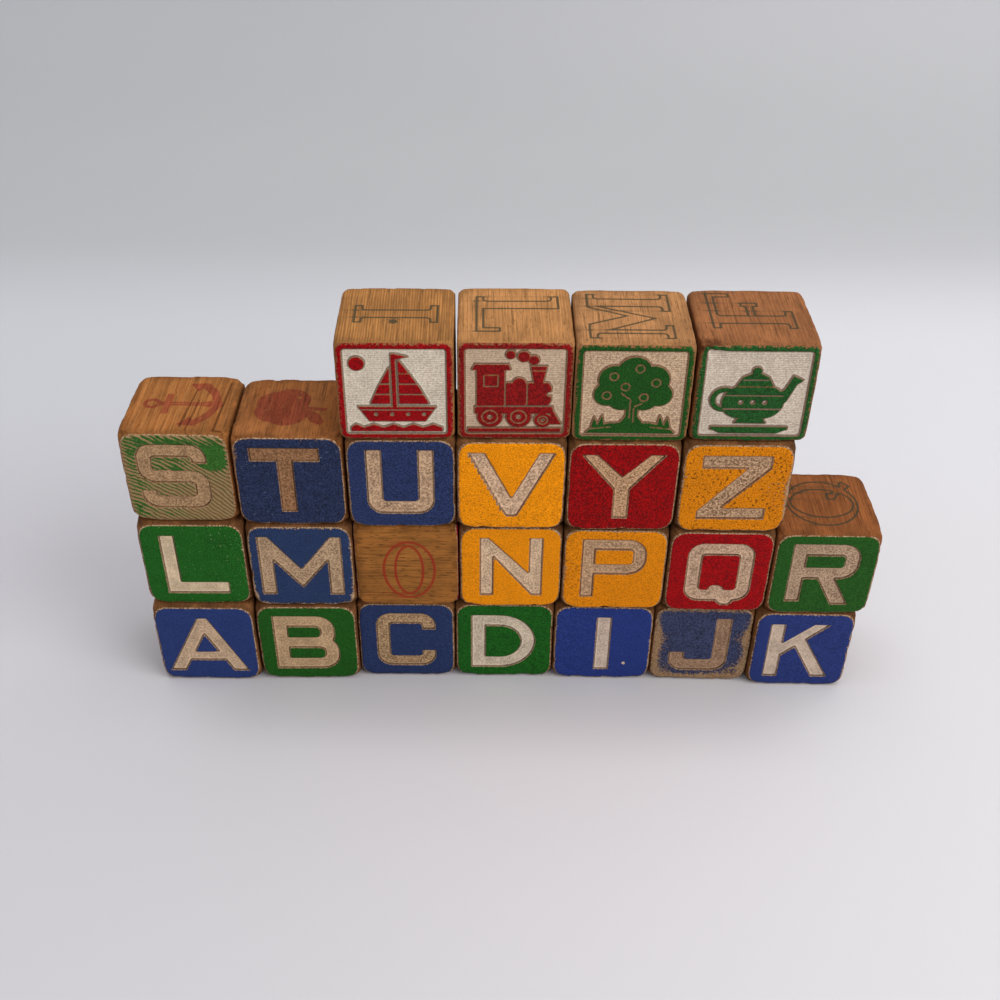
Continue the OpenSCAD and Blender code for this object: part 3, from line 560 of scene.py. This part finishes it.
class Finish:
    """A block's material, laid on from the wood up. Each layer goes over the colour so far by
    its mask, and masks come from the mesh's attributes, whose millimetres say where paint and
    ink stop, and from noises."""

    def __init__(self, name, tone, ground, style):
        self.material = bpy.data.materials.new("finish_" + name)
        self.material.use_nodes = True
        self.tree = self.material.node_tree
        self.tree.nodes.clear()
        self.style = style
        self.bare, self.tone = colour(*tone), colour(*ground)
        self.inside, self.pressed, self.edge, self.wear = map(self.read, ("paint", "ground", "edge", "wear"))
        self.wood = self.read("wood", "Vector")
        self.place = node(self.tree, "ShaderNodeTexCoord", {}, {}, "Object")
        self.grime, self.blotch, self.fuzz, self.fleck, self.grit, self.grain = map(
            self.even, (GRIME, BLOTCH, FUZZ, FLECK, GRIT, GRAIN)
        )

    def read(self, key, output="Fac"):
        """One of the mesh's attributes."""
        return node(self.tree, "ShaderNodeAttribute", {"attribute_name": key}, {}, output)

    def noise(self, place, stretch, detail, rough):
        """Noise over a place, so many lumps to its unit each way; 0 to 1."""
        place = node(self.tree, "ShaderNodeVectorMath", {"operation": "MULTIPLY"}, {0: place, 1: stretch})
        inputs = {"Vector": place, "Scale": 1.0, "Detail": detail, "Roughness": rough}
        return node(self.tree, "ShaderNodeTexNoise", {}, inputs, "Fac")

    def even(self, kind):
        """Noise that is the same in every direction."""
        lumps, detail, rough = kind
        return self.noise(self.place, (lumps / MM,) * 3, detail, rough)

    def in_wood(self, kind):
        """Noise that is stretched along the grain."""
        return self.noise(self.wood, *kind)

    def ragged(self, width):
        """The distance inside the paint, made uneven by the fuzz over so many millimetres."""
        return self.inside + (self.fuzz - 0.5) * width

    def lay(self, mask, tint):
        """Lays a colour over the colour so far."""
        self.colour = mix(self.tree, mask, self.colour, tint)

    def stained(self, stain, share=1.0):
        """The colour so far, multiplied with a stain."""
        return mix(self.tree, share, self.colour, stain, "MULTIPLY")

    def bare_wood(self):
        """Pale early wood that darkens towards each ring's end, fine light fibres and longer
        dark threads along the grain, short dark pores, and soiled patches. Rings are the saw
        wave of the distance from the heart. The late wood and the pores lie a little lower."""
        style, bare = self.style, self.bare
        radius = node(self.tree, "ShaderNodeSeparateXYZ", {}, {0: self.wood}, 0)
        ring = (radius * (1 / style.every) + self.in_wood(DRIFT) * RING_DRIFT).fraction()
        self.late = ring.rise(0.20, 0.92) * ring.rise(1.0, 0.93)
        self.fibre = self.in_wood(FIBRE)
        thread = self.in_wood(THREAD).rise(0.46, 0.34)
        pore = self.in_wood(OPEN_PORE).rise(0.42, 0.32) * style.dashes
        patch = self.in_wood(SOILED_PATCH).rise(0.36, 0.66)
        self.colour = mix(self.tree, patch, shade(bare, CLEAN), shade(bare, SOILED))
        self.lay(self.late * style.rings, self.stained(LATE_WOOD))
        self.lay(self.fibre.rise(0.37, 0.63), self.stained(PALE_FIBRE, style.streaks))
        self.lay(thread * style.streaks, shade(bare, DARK_THREAD))
        self.lay(pore, shade(bare, DARK_PORE))
        self.height = self.fibre * FIBRE_UP - self.late * style.rings * LATE_DOWN - pore * PORE_DOWN

    def worn_edges(self):
        """The edges of bare wood are pale on the ridge, rubbed and with a painted highlight, and darker
        beside it with dirt and painted shade, and the wood is dark where it is bruised."""
        # rubbed wear and a painted highlight: the pale ridge of the rounded edges
        ridge = self.edge.rise(1.1, 0.2) * self.fuzz.rise(0.42, 0.6)
        # dirt and painted shade: darker wood beside the edges, as in the strips between the rows
        dirt_and_shade = self.edge.rise(3.6, 0.7) * self.grime.rise(0.66, 0.42)
        bruised = self.read("bruise").rise(0.15, 0.8) * (self.fuzz + 0.25)
        crushed = np.multiply(shade(self.bare, BRUISE)[:3], CRUSHED_WOOD)
        self.lay(ridge * RUBBED_AND_LIT_COVER, shade(self.bare, RUBBED_AND_LIT_RIDGE))
        self.lay(dirt_and_shade * self.style.top_soil, shade(self.bare, EDGE_DIRT_AND_SHADE))
        self.lay(bruised, (*crushed.tolist(), 1.0))

    def stamped_ground(self):
        """The pressed ground: patches, dark pits and light grains, and on a picture block the ribs of the
        stamp, a wave of straight flanks that goes level round the block, its furrows darkened by dirt and
        painted shade."""
        style, tree, tone = self.style, self.tree, self.tone
        patches = (self.grime * 0.5 + self.blotch * 0.5).rise(0.40, 0.60)
        pits = self.grit.rise(0.55, 0.38) * style.stipple
        grains = self.grit.rise(0.48, 0.64) * style.stipple
        face = mix(tree, patches, shade(tone, 1 + style.patchy), shade(tone, 1 - style.patchy))
        face = mix(tree, pits, face, colour(*PIT_DIRT))
        face = mix(tree, grains, face, shade(tone, LIGHT_GRAIN))
        if style.ribs:
            up = node(tree, "ShaderNodeSeparateXYZ", {}, {0: self.place}, 2)
            ridge = abs((up * (1 / MM / RIB) + self.fuzz * RIB_DRIFT).fraction() - 0.5) * 2
            # dirt and painted shade in the furrows between the ribs
            furrow_dirt_and_shade = ridge.rise(0.60, 0.05) * style.ribs * (self.grime * 1.2 + 0.4)
            face = mix(tree, furrow_dirt_and_shade, face, shade(tone, FURROW_DIRT_AND_SHADE))
            self.height = self.height + ridge * style.ribs * self.pressed
        self.lay(self.pressed, face)

    def rims(self, line):
        """What lies along the paint's outline: the soiled border, a painted highlight on the ground's light
        rim, the light rim of the broken wood, and the dark line where the stamp broke it, which is dirt and
        painted shadow of the lip."""
        style, ragged, flat = self.style, self.ragged(RIM_FUZZ), 1 - self.pressed
        broken = ragged.rise(-0.75, -0.45) * flat * self.grit.rise(0.45, 0.53)
        # dirt and painted shadow: the dark line in the ground along the stamp's lip
        cut = self.ragged(DIRT_AND_SHADE_LINE_FUZZ).rise(-0.60, -0.30) * self.pressed
        self.lay(ragged.rise(-2.4, -0.5) * flat * style.soiled, shade(self.bare, MARGIN_DIRT))
        # painted highlight: a light rim of the pressed ground beside the paint
        self.lay(ragged.rise(-1.2, -0.8) * self.pressed * style.halo, shade(self.tone, HALO_HIGHLIGHT))
        self.lay(broken * style.rim, colour(*BROKEN_WOOD))
        self.lay(cut * style.dirt_and_shade_line, colour(*line))

    def coat(self, paint):
        """The coat's own colour: mottled, with dark grit, pits and light specks, all stronger
        where it is worn."""
        style, tree, tint, wear = self.style, self.tree, colour(*paint), self.wear
        worn = wear * MARKED_BY_WEAR
        light = (self.blotch * 0.15 + self.grain * 0.85).rise(0.38, 0.62)
        gritty = self.grit.rise(0.54, 0.40) * wear.rise(0.3, 1.0) * GRIT_COVER
        pitted = self.even(PIT).rise(0.40, 0.33) * worn * style.pores
        specked = self.even(SPECK).rise(0.67, 0.71) * worn * style.specks
        coat = mix(tree, light, shade(tint, 1 - style.mottle), shade(tint, 1 + style.mottle))
        coat = mix(tree, gritty, coat, shade(tint, COAT_GRIT))
        coat = mix(tree, pitted, coat, shade(tint, COAT_PIT))
        return mix(tree, specked, coat, colour(*style.speck))

    def lay_paint(self, paint):
        """Lays the coat inside its outline, and leaves it out where the flecks, or the streaks
        along the rings, are below the wear of the place."""
        style = self.style
        coat = self.coat(paint)
        whole = self.ragged(COAT_FUZZ).rise(-0.05, 0.09)
        tear = self.fleck
        if style.torn:
            streak = self.in_wood(TORN_STREAK)
            tear = tear * (1 - style.torn) + (streak * 0.8 + self.late * 0.25) * style.torn
        chipped = self.edge.rise(style.reach, 0.4) * style.chips
        level = self.wear * LOST_BY_WEAR + LOST + chipped * LOST_AT_EDGE
        left = (tear - level).rise(-style.soft, style.soft)
        beneath = colour(*style.beneath) if style.beneath else shade(self.tone, BARED_GROUND)
        self.lay(whole * (1 - left) * style.bared, beneath)
        if style.torn:
            self.lay(whole * self.late.rise(0.25, 0.85) * style.torn, colour(*TORN_WOOD))
        self.painted = whole * left
        self.lay(self.painted, coat)

    def lay_ink(self):
        """Lays the ink of the printed line, or of a full picture, and leaves it out where the
        flecks and the grime are below what is faded."""
        style = self.style
        off = abs(self.read("ink") + (self.fuzz - 0.5) * LINE_FUZZ)
        line = off.rise(HALF_LINE + INK_PAST + style.swell, HALF_LINE - INK_WITHIN)
        left = (self.fleck + self.grime * 0.4 - style.faded).rise(0.34, 0.58)
        ink = mix(self.tree, self.read("solid"), colour(*style.ink), self.stained(PICTURE_INK))
        self.lay(line * left * INK_COVER, ink)

    def surface(self):
        """Joins colour, height and gloss: paint stands above the wood and is smoother."""
        painted = self.painted
        height = self.height * (1 - painted) + painted * PAINT_UP + self.fleck * painted * FLECK_UP
        height = height + self.pressed * self.grit * self.style.stipple * GRIT_UP
        bump = {"Strength": BUMP_STRENGTH, "Distance": BUMP_HEIGHT * MM, "Height": height}
        inputs = {
            "Base Color": self.colour,
            "Roughness": self.fibre * FIBRE_MATT + MATT - painted * PAINT_SMOOTH,
            "Normal": node(self.tree, "ShaderNodeBump", {}, bump, "Normal"),
            "Specular IOR Level": GLOSS,
        }
        surface = node(self.tree, "ShaderNodeBsdfPrincipled", {}, inputs)
        node(self.tree, "ShaderNodeOutputMaterial", {}, {0: surface})


def put(name, piece, material):
    """Hangs the finished piece on its block's body, in place of the block's CAD nodes."""
    piece.data.materials.append(material)
    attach(piece, "body_" + name)
    nodes = ("block_" + name, "paint_" + name, "print_" + name)
    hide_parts(*(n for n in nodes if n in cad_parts))


# lattice cells across, in depth and up: more in depth where a top is printed
CELLS = (80, 32, 80)
CELLS_TOP = (80, 64, 80)
# how far off the log's heart lies, and how much further each seed leans it, within a range
HEART = 90
LEAN_STEP, LEANS = 17, 120
# the plain blocks' wood, darkened by dirt and painted shade of the strips between the rows
WOOD_TONE_DIRT_AND_SHADE = (122, 80, 46)
# colour of the dark line round each letter: dirt and painted shadow of the lip
BLUE_DIRT_AND_SHADE_LINE = (46, 32, 24)


def wooden_block(name, seed, paint, ground, line, tone=WOOD_TONE_DIRT_AND_SHADE, slot="wood", cells=CELLS, heart=HEART,
                 lean=None, along=1, battered=1.0, wrap=0.0, scuffs=(), cuts=(), blots=(), knocks=(),
                 teeth=(), **style):
    """Makes one block: its worn cube, its finish and its place in the stack. If no lean is
    given, the seed sets it to one of 120 angles. Marks start with their places in millimetres
    from the block's middle; a scuff then has radius and strength, a cut width and depth, a
    blot its radius, a knock radius and depth, and teeth their pitch and depth."""
    cube = Cube(name, seed, cells)
    for side in SIDES:
        cube.stamp(side, wrap)
        cube.print_line(side)
    cube.scuff(scuffs)
    cube.tear(teeth)
    cube.cut(cuts)
    cube.blot(blots)
    cube.batter(battered, knocks)
    lean = seed * LEAN_STEP % LEANS - LEANS // 2 if lean is None else lean
    piece = cube.piece(cube.place_in_log(heart, lean, along))
    finish = Finish(name, tone, ground, Style(style))
    finish.bare_wood()
    finish.worn_edges()
    finish.stamped_ground()
    finish.rims(line)
    finish.lay_paint(paint)
    finish.lay_ink()
    finish.surface()
    put(name, piece, finish.material)


wooden_block("a", 11, paint=(37, 54, 105), ground=(192, 163, 133), line=BLUE_DIRT_AND_SHADE_LINE,
             chips=0.25, stipple=0.38, mottle=0.22)
wooden_block("c", 13, paint=(35, 49, 86), ground=(164, 134, 100), line=BLUE_DIRT_AND_SHADE_LINE,
             scuffs=((-9, 9, 4, 0.25), (9, -6, 4, 0.3)), stipple=0.8, mottle=0.25)
wooden_block("i", 15, paint=(34, 51, 114), ground=(198, 177, 159), line=BLUE_DIRT_AND_SHADE_LINE,
             scuffs=((7.3, -8.7, 0.55, 2.5),), chips=0.5, stipple=0.32, mottle=0.25)
wooden_block("j", 16, paint=(52, 57, 84), ground=(148, 117, 93), line=BLUE_DIRT_AND_SHADE_LINE,
             scuffs=((-15, 2, 6, 0.8), (-13, -13, 8, 0.8), (13, 3, 5, 0.7), (4, -15, 8, 0.7),
                     (14, -11, 6, 0.7)),
             stipple=0.55, specks=1.0, speck=(118, 124, 136), bared=0.6, chips=0.95, reach=4.2,
             soiled=0.3, beneath=(138, 108, 76), soft=0.09, mottle=0.5)
wooden_block("k", 17, paint=(37, 51, 107), ground=(194, 172, 152), line=BLUE_DIRT_AND_SHADE_LINE,
             stipple=0.28, chips=0.5, mottle=0.25)
wooden_block("m", 22, paint=(37, 53, 87), ground=(174, 145, 114), line=BLUE_DIRT_AND_SHADE_LINE,
             scuffs=((-14, -14, 4, 0.5), (14, -14, 4, 0.5)), stipple=0.62, chips=0.7, mottle=0.25)
wooden_block("t", 32, paint=(36, 45, 73), ground=(141, 102, 71), line=BLUE_DIRT_AND_SHADE_LINE, tone=(134, 83, 43),
             slot="wood_dark", cells=CELLS_TOP, scuffs=((-12, 10, 5, 0.5), (9, 12, 5, 0.3)),
             stipple=0.8, specks=0.9, speck=(120, 124, 140), chips=0.35, dashes=0.4, faded=0.1,
             top_soil=0.5, mottle=0.5, streaks=0.7)
wooden_block("u", 33, paint=(38, 50, 87), ground=(187, 154, 123), line=BLUE_DIRT_AND_SHADE_LINE,
             stipple=0.62, chips=0.5, mottle=0.45)

# The green letter blocks, made of the same wood and in the same way as the blue ones. One has
# lost most of its paint: what is left lies in streaks along the hard rings of the wood.
# colour of the dark line round each letter: dirt and painted shadow of the lip
GREEN_DIRT_AND_SHADE_LINE = (48, 28, 18)

wooden_block("b", 12, paint=(26, 79, 17), ground=(184, 152, 115), line=GREEN_DIRT_AND_SHADE_LINE,
             stipple=0.42, mottle=0.3)
wooden_block("d", 14, paint=(21, 83, 18), ground=(200, 183, 159), line=GREEN_DIRT_AND_SHADE_LINE,
             stipple=0.35, chips=0.2, mottle=0.38)
wooden_block("l", 21, paint=(26, 88, 22), ground=(208, 184, 151), line=GREEN_DIRT_AND_SHADE_LINE,
             scuffs=((9, 8, 5, 0.5),), stipple=0.22, specks=1.0, speck=(140, 168, 110), mottle=0.35)
wooden_block("r", 27, paint=(32, 79, 21), ground=(168, 141, 115), line=GREEN_DIRT_AND_SHADE_LINE, tone=(123, 73, 38),
             slot="wood_dark", cells=CELLS_TOP, stipple=0.65, chips=0.2, rings=0.25, swell=0.2,
             top_soil=0.4, streaks=0.8, mottle=0.3)
wooden_block("s", 31, paint=(52, 98, 34), ground=(169, 135, 99), line=GREEN_DIRT_AND_SHADE_LINE, tone=(142, 91, 47),
             cells=CELLS_TOP, lean=35,
             scuffs=((0, -4, 40, 0.95), (-3, 13, 9, -0.22), (11, 7.5, 3.2, -1.8), (0, 3, 4, -0.22),
                     (12, -9, 9, 0.6)),
             cuts=((11.5, -13.4, 12.5, 12, 0.4, 0.5), (11.4, -13.6, 14.2, -14.2, 0.4, 0.4),
                   (1.5, -12, 3.0, 8, 0.3, 0.2), (3.6, -14, 4.6, 2, 0.25, 0.15)),
             torn=0.75, rings=0.5, every=1.2, bared=0.8, faded=0.1, halo=0.1, soiled=0.2,
             beneath=(146, 122, 80), soft=0.05, top_soil=0.4, stipple=0.55, streaks=0.7)

# The yellow letter blocks, of the same wood. The thin yellow coat lets the open pores of the
# wood show as dark specks, and the line round each letter is a rusty brown.
# colour of the dark line round each letter: dirt and painted shadow of the lip
YELLOW_DIRT_AND_SHADE_LINE = (84, 36, 14)

wooden_block("n", 23, paint=(223, 133, 0), ground=(204, 173, 141), line=YELLOW_DIRT_AND_SHADE_LINE,
             stipple=0.5, chips=0.2, pores=0.1, mottle=0.2)
wooden_block("p", 25, paint=(213, 125, 0), ground=(177, 142, 109), line=YELLOW_DIRT_AND_SHADE_LINE,
             scuffs=((-13, 0, 6, 0.35), (0, 14, 5, 0.2)), pores=0.9, mottle=0.24)
wooden_block("v", 34, paint=(238, 140, 0), ground=(202, 168, 137), line=YELLOW_DIRT_AND_SHADE_LINE,
             scuffs=((-9, -10, 6, 0.35), (4, -13, 5, 0.3)), teeth=((-13.4, 11.5, -3.4, -9, 2.1, 0.9),),
             pores=0.8, mottle=0.27)
wooden_block("z", 36, paint=(209, 122, 0), ground=(171, 138, 107), line=YELLOW_DIRT_AND_SHADE_LINE,
             scuffs=((13, 0, 8, 0.45), (-12, 4, 5, 0.4), (0, 0, 16, 0.2)),
             pores=1.5, mottle=0.28, stipple=0.85)

# The red letter blocks, of the same wood, and the one that stands with its stamped faces to
# the sides: its front is bare wood with the grain lying level, printed with a thin red line.
# colour of the dark line round each letter: dirt and painted shadow of the lip
RED_DIRT_AND_SHADE_LINE = (52, 18, 14)

wooden_block("o", 24, paint=(138, 14, 24), ground=(170, 140, 110), line=RED_DIRT_AND_SHADE_LINE, tone=(137, 87, 39),
             along=0, ink=(146, 42, 26), faded=0.04, swell=0.3, rings=0.1, streaks=0.8, dashes=0.6,
             soiled=0.3, top_soil=0.5)
wooden_block("q", 26, paint=(144, 0, 5), ground=(188, 156, 129), line=RED_DIRT_AND_SHADE_LINE,
             stipple=0.55, mottle=0.45)
wooden_block("y", 35, paint=(137, 0, 2), ground=(187, 147, 111), line=RED_DIRT_AND_SHADE_LINE,
             scuffs=((0, -13, 5, 0.3),), stipple=0.75, pores=0.6, mottle=0.55)

# The picture blocks of the top row, of the same wood, paler and with sharper corners. Each
# has a painted frame line round a whitened ground, whose fine level ribs are the stamp's own,
# and the picture stands up from it in paint.
CELLS_PICTURE = (116, 64, 116)


def picture_block(name, seed, **own):
    """Makes a block with a picture in front, with what the picture blocks have in common."""
    alike = {
        # the line colour is that of the dark line round the picture: dirt and painted shadow of the lip
        "line": (76, 36, 26), "cells": CELLS_PICTURE, "heart": 140, "battered": 0.45, "wrap": 0.45,
        "stipple": 0.3, "ribs": 0.55, "patchy": 0.07, "dirt_and_shade_line": 0.8, "halo": 0.15, "rim": 0.1,
        "chips": 0.8, "beneath": (150, 96, 62), "bared": 0.9, "mottle": 0.45, "swell": 0.2,
        "top_soil": 0.3, "streaks": 0.75,
    }
    wooden_block(name, seed, **{**alike, **own})


picture_block("boat", 41, paint=(140, 1, 7), ground=(225, 208, 186), tone=(149, 104, 58), lean=102,
              blots=((-0.6, -4.4, 0.9),), every=0.75, rings=0.8, dashes=0.1)
picture_block("train", 42, paint=(127, 14, 14), ground=(204, 176, 148), tone=(159, 111, 66), lean=82,
              rings=0.1, dashes=0.35)
picture_block("tree", 43, paint=(27, 74, 21), ground=(206, 174, 142), tone=(152, 107, 67), lean=95,
              rings=0.15, dashes=0.45, stipple=0.5)
picture_block("teapot", 44, paint=(31, 78, 31), ground=(216, 198, 178), tone=(133, 85, 51), lean=76,
              slot="wood_dark", knocks=((-14, -14.5, 14.5, 3.4, 1.1),), rings=0.1, dashes=0.35)

# The floor and the wall behind it are one pale sheet of paper, bent up in a wide curve. It is
# only the place where the set stands. Lengths are in metres.
FLOOR_BEND = 0.30
BEND_RADIUS = 0.12
WALL_TOP = 1.6
REACH = 2.4
BEND_STEPS = 25
STRIPS = 9
# the paper's grey, painted shade at the dark side and painted light at the lit side, near and in the middle,
# then painted shade far off, and a painted shadow close round the blocks, within so much of the middle
NEAR = (194, 191, 194), (208, 205, 206)
MIDDLE = (197, 197, 200), (210, 209, 211)
FAR_SHADE_GREY = (173, 173, 174)
FOOT_SHADOW_GREY = (140, 136, 136)
FOOT_SHADOW_COVER = 0.2
FOOT_SHADOW_HALF = 0.1054


def sweep():
    """The sheet: a profile of floor, quarter circle and wall, drawn out across."""
    bend = np.linspace(0, np.pi / 2, BEND_STEPS)
    y = np.concatenate([[-REACH], FLOOR_BEND + BEND_RADIUS * np.sin(bend), [FLOOR_BEND + BEND_RADIUS]])
    z = np.concatenate([[0], BEND_RADIUS * (1 - np.cos(bend)), [WALL_TOP]])
    x = np.linspace(-REACH, REACH, STRIPS)
    points = np.stack([np.repeat(x, len(y)), np.tile(y, len(x)), np.tile(z, len(x))], 1)
    index = np.arange(len(points)).reshape(len(x), len(y))
    quads = np.stack([index[:-1, :-1], index[1:, :-1], index[1:, 1:], index[:-1, 1:]], -1).reshape(-1, 4)
    mesh = bpy.data.meshes.new("sheet")
    mesh.from_pydata(points.tolist(), [], quads.tolist())
    mesh.shade_smooth()
    return mesh


def paper():
    """The sheet's material: pale grey with painted light and shade, a little lighter to the lit side and
    farther back, and a little darker where it bends up. A painted shadow darkens it close to the foot of the
    blocks, by the product of a bow across and a band ahead of them and under them."""
    material = bpy.data.materials.new("paper")
    material.use_nodes = True
    tree = material.node_tree
    tree.nodes.clear()
    place = node(tree, "ShaderNodeTexCoord", {}, {}, "Object")
    across, ahead, up = (node(tree, "ShaderNodeSeparateXYZ", {}, {0: place}, i) for i in range(3))
    # painted light: the paper is lighter towards the window's side
    lit = across.rise(-0.16, 0.20)
    near, middle = (mix(tree, lit, colour(*dark), colour(*light)) for dark, light in (NEAR, MIDDLE))
    tint = mix(tree, ahead.rise(0.0, 0.18), near, middle)
    # painted shadow of the blocks on the paper, close round their foot
    bow = (1 - across * across * (1 / FOOT_SHADOW_HALF**2)).rise(0.0, 0.5)
    foot = bow * ahead.rise(-0.055, -0.028) * ahead.rise(0.03, 0.0)
    tint = mix(tree, foot * FOOT_SHADOW_COVER, tint, colour(*FOOT_SHADOW_GREY))
    # painted shade: the paper is darker far back, where it bends up
    far = ahead.rise(0.20, 0.37) * (1 - up.rise(0.03, 0.13) * 0.7)
    tint = mix(tree, far, tint, colour(*FAR_SHADE_GREY))
    surface = node(tree, "ShaderNodeBsdfPrincipled", {}, {"Base Color": tint, "Roughness": 0.6})
    node(tree, "ShaderNodeOutputMaterial", {}, {0: surface})
    return material


sheet = bpy.data.objects.new("sheet", sweep())
bpy.context.scene.collection.objects.link(sheet)
sheet.data.materials.append(paper())

# The light of a room: soft light from a wide window to the right and above, more from the
# ceiling behind, and a faint cool light from all round.
ROOM_TINT = (0.93, 0.95, 1.0, 1.0)
ROOM_STRENGTH = 0.66
AIM = np.array((0, 0, 0.05))


def area_light(name, place, size, power):
    """Hangs a square light that looks at the stack, its lower edge level."""
    lamp = bpy.data.lights.new(name, "AREA")
    lamp.size = size
    lamp.energy = power
    light = bpy.data.objects.new(name, lamp)
    back = (place - AIM) / np.linalg.norm(place - AIM)
    side = np.cross([0, 1, 0], back)
    side /= np.linalg.norm(side)
    stand = np.column_stack([side, np.cross(back, side), back, place])
    light.matrix_world = Matrix(np.vstack([stand, [0, 0, 0, 1]]))
    bpy.context.scene.collection.objects.link(light)


world = bpy.data.worlds.new("room")
bpy.context.scene.world = world
world.use_nodes = True
world.node_tree.nodes["Background"].inputs["Color"].default_value = ROOM_TINT
world.node_tree.nodes["Background"].inputs["Strength"].default_value = ROOM_STRENGTH
area_light("window", place=(0.95, -0.70, 1.15), size=1.0, power=13.5)
area_light("ceiling", place=(0.0, 0.40, 1.5), size=1.3, power=16.0)

# The camera stands before the set and above it, and looks down on it. Its place is in metres,
# its angles are in degrees, and its focal length is a share of the picture's width.
CAMERA_PLACE = (-0.004368, -0.304445, 0.293544)
PITCH, YAW, ROLL = np.radians((37.3408, 0.4707, 0.8098))
FOCAL_SHARE = 1.2302
ahead = np.array([np.sin(YAW) * np.cos(PITCH), np.cos(YAW) * np.cos(PITCH), -np.sin(PITCH)])
level = np.array([np.cos(YAW), -np.sin(YAW), 0])
upright = np.cross(level, ahead)
right = np.cos(ROLL) * level + np.sin(ROLL) * upright
up = np.cos(ROLL) * upright - np.sin(ROLL) * level
lens = bpy.data.cameras.new("camera")
lens.sensor_fit = "HORIZONTAL"
lens.lens = FOCAL_SHARE * lens.sensor_width
lens.clip_start = 0.01
camera = bpy.data.objects.new("camera", lens)
camera.matrix_world = Matrix(np.vstack([np.column_stack([right, up, -ahead, CAMERA_PLACE]), [0, 0, 0, 1]]))
bpy.context.scene.collection.objects.link(camera)
bpy.context.scene.camera = camera
bpy.context.scene.view_settings.view_transform = "Standard"
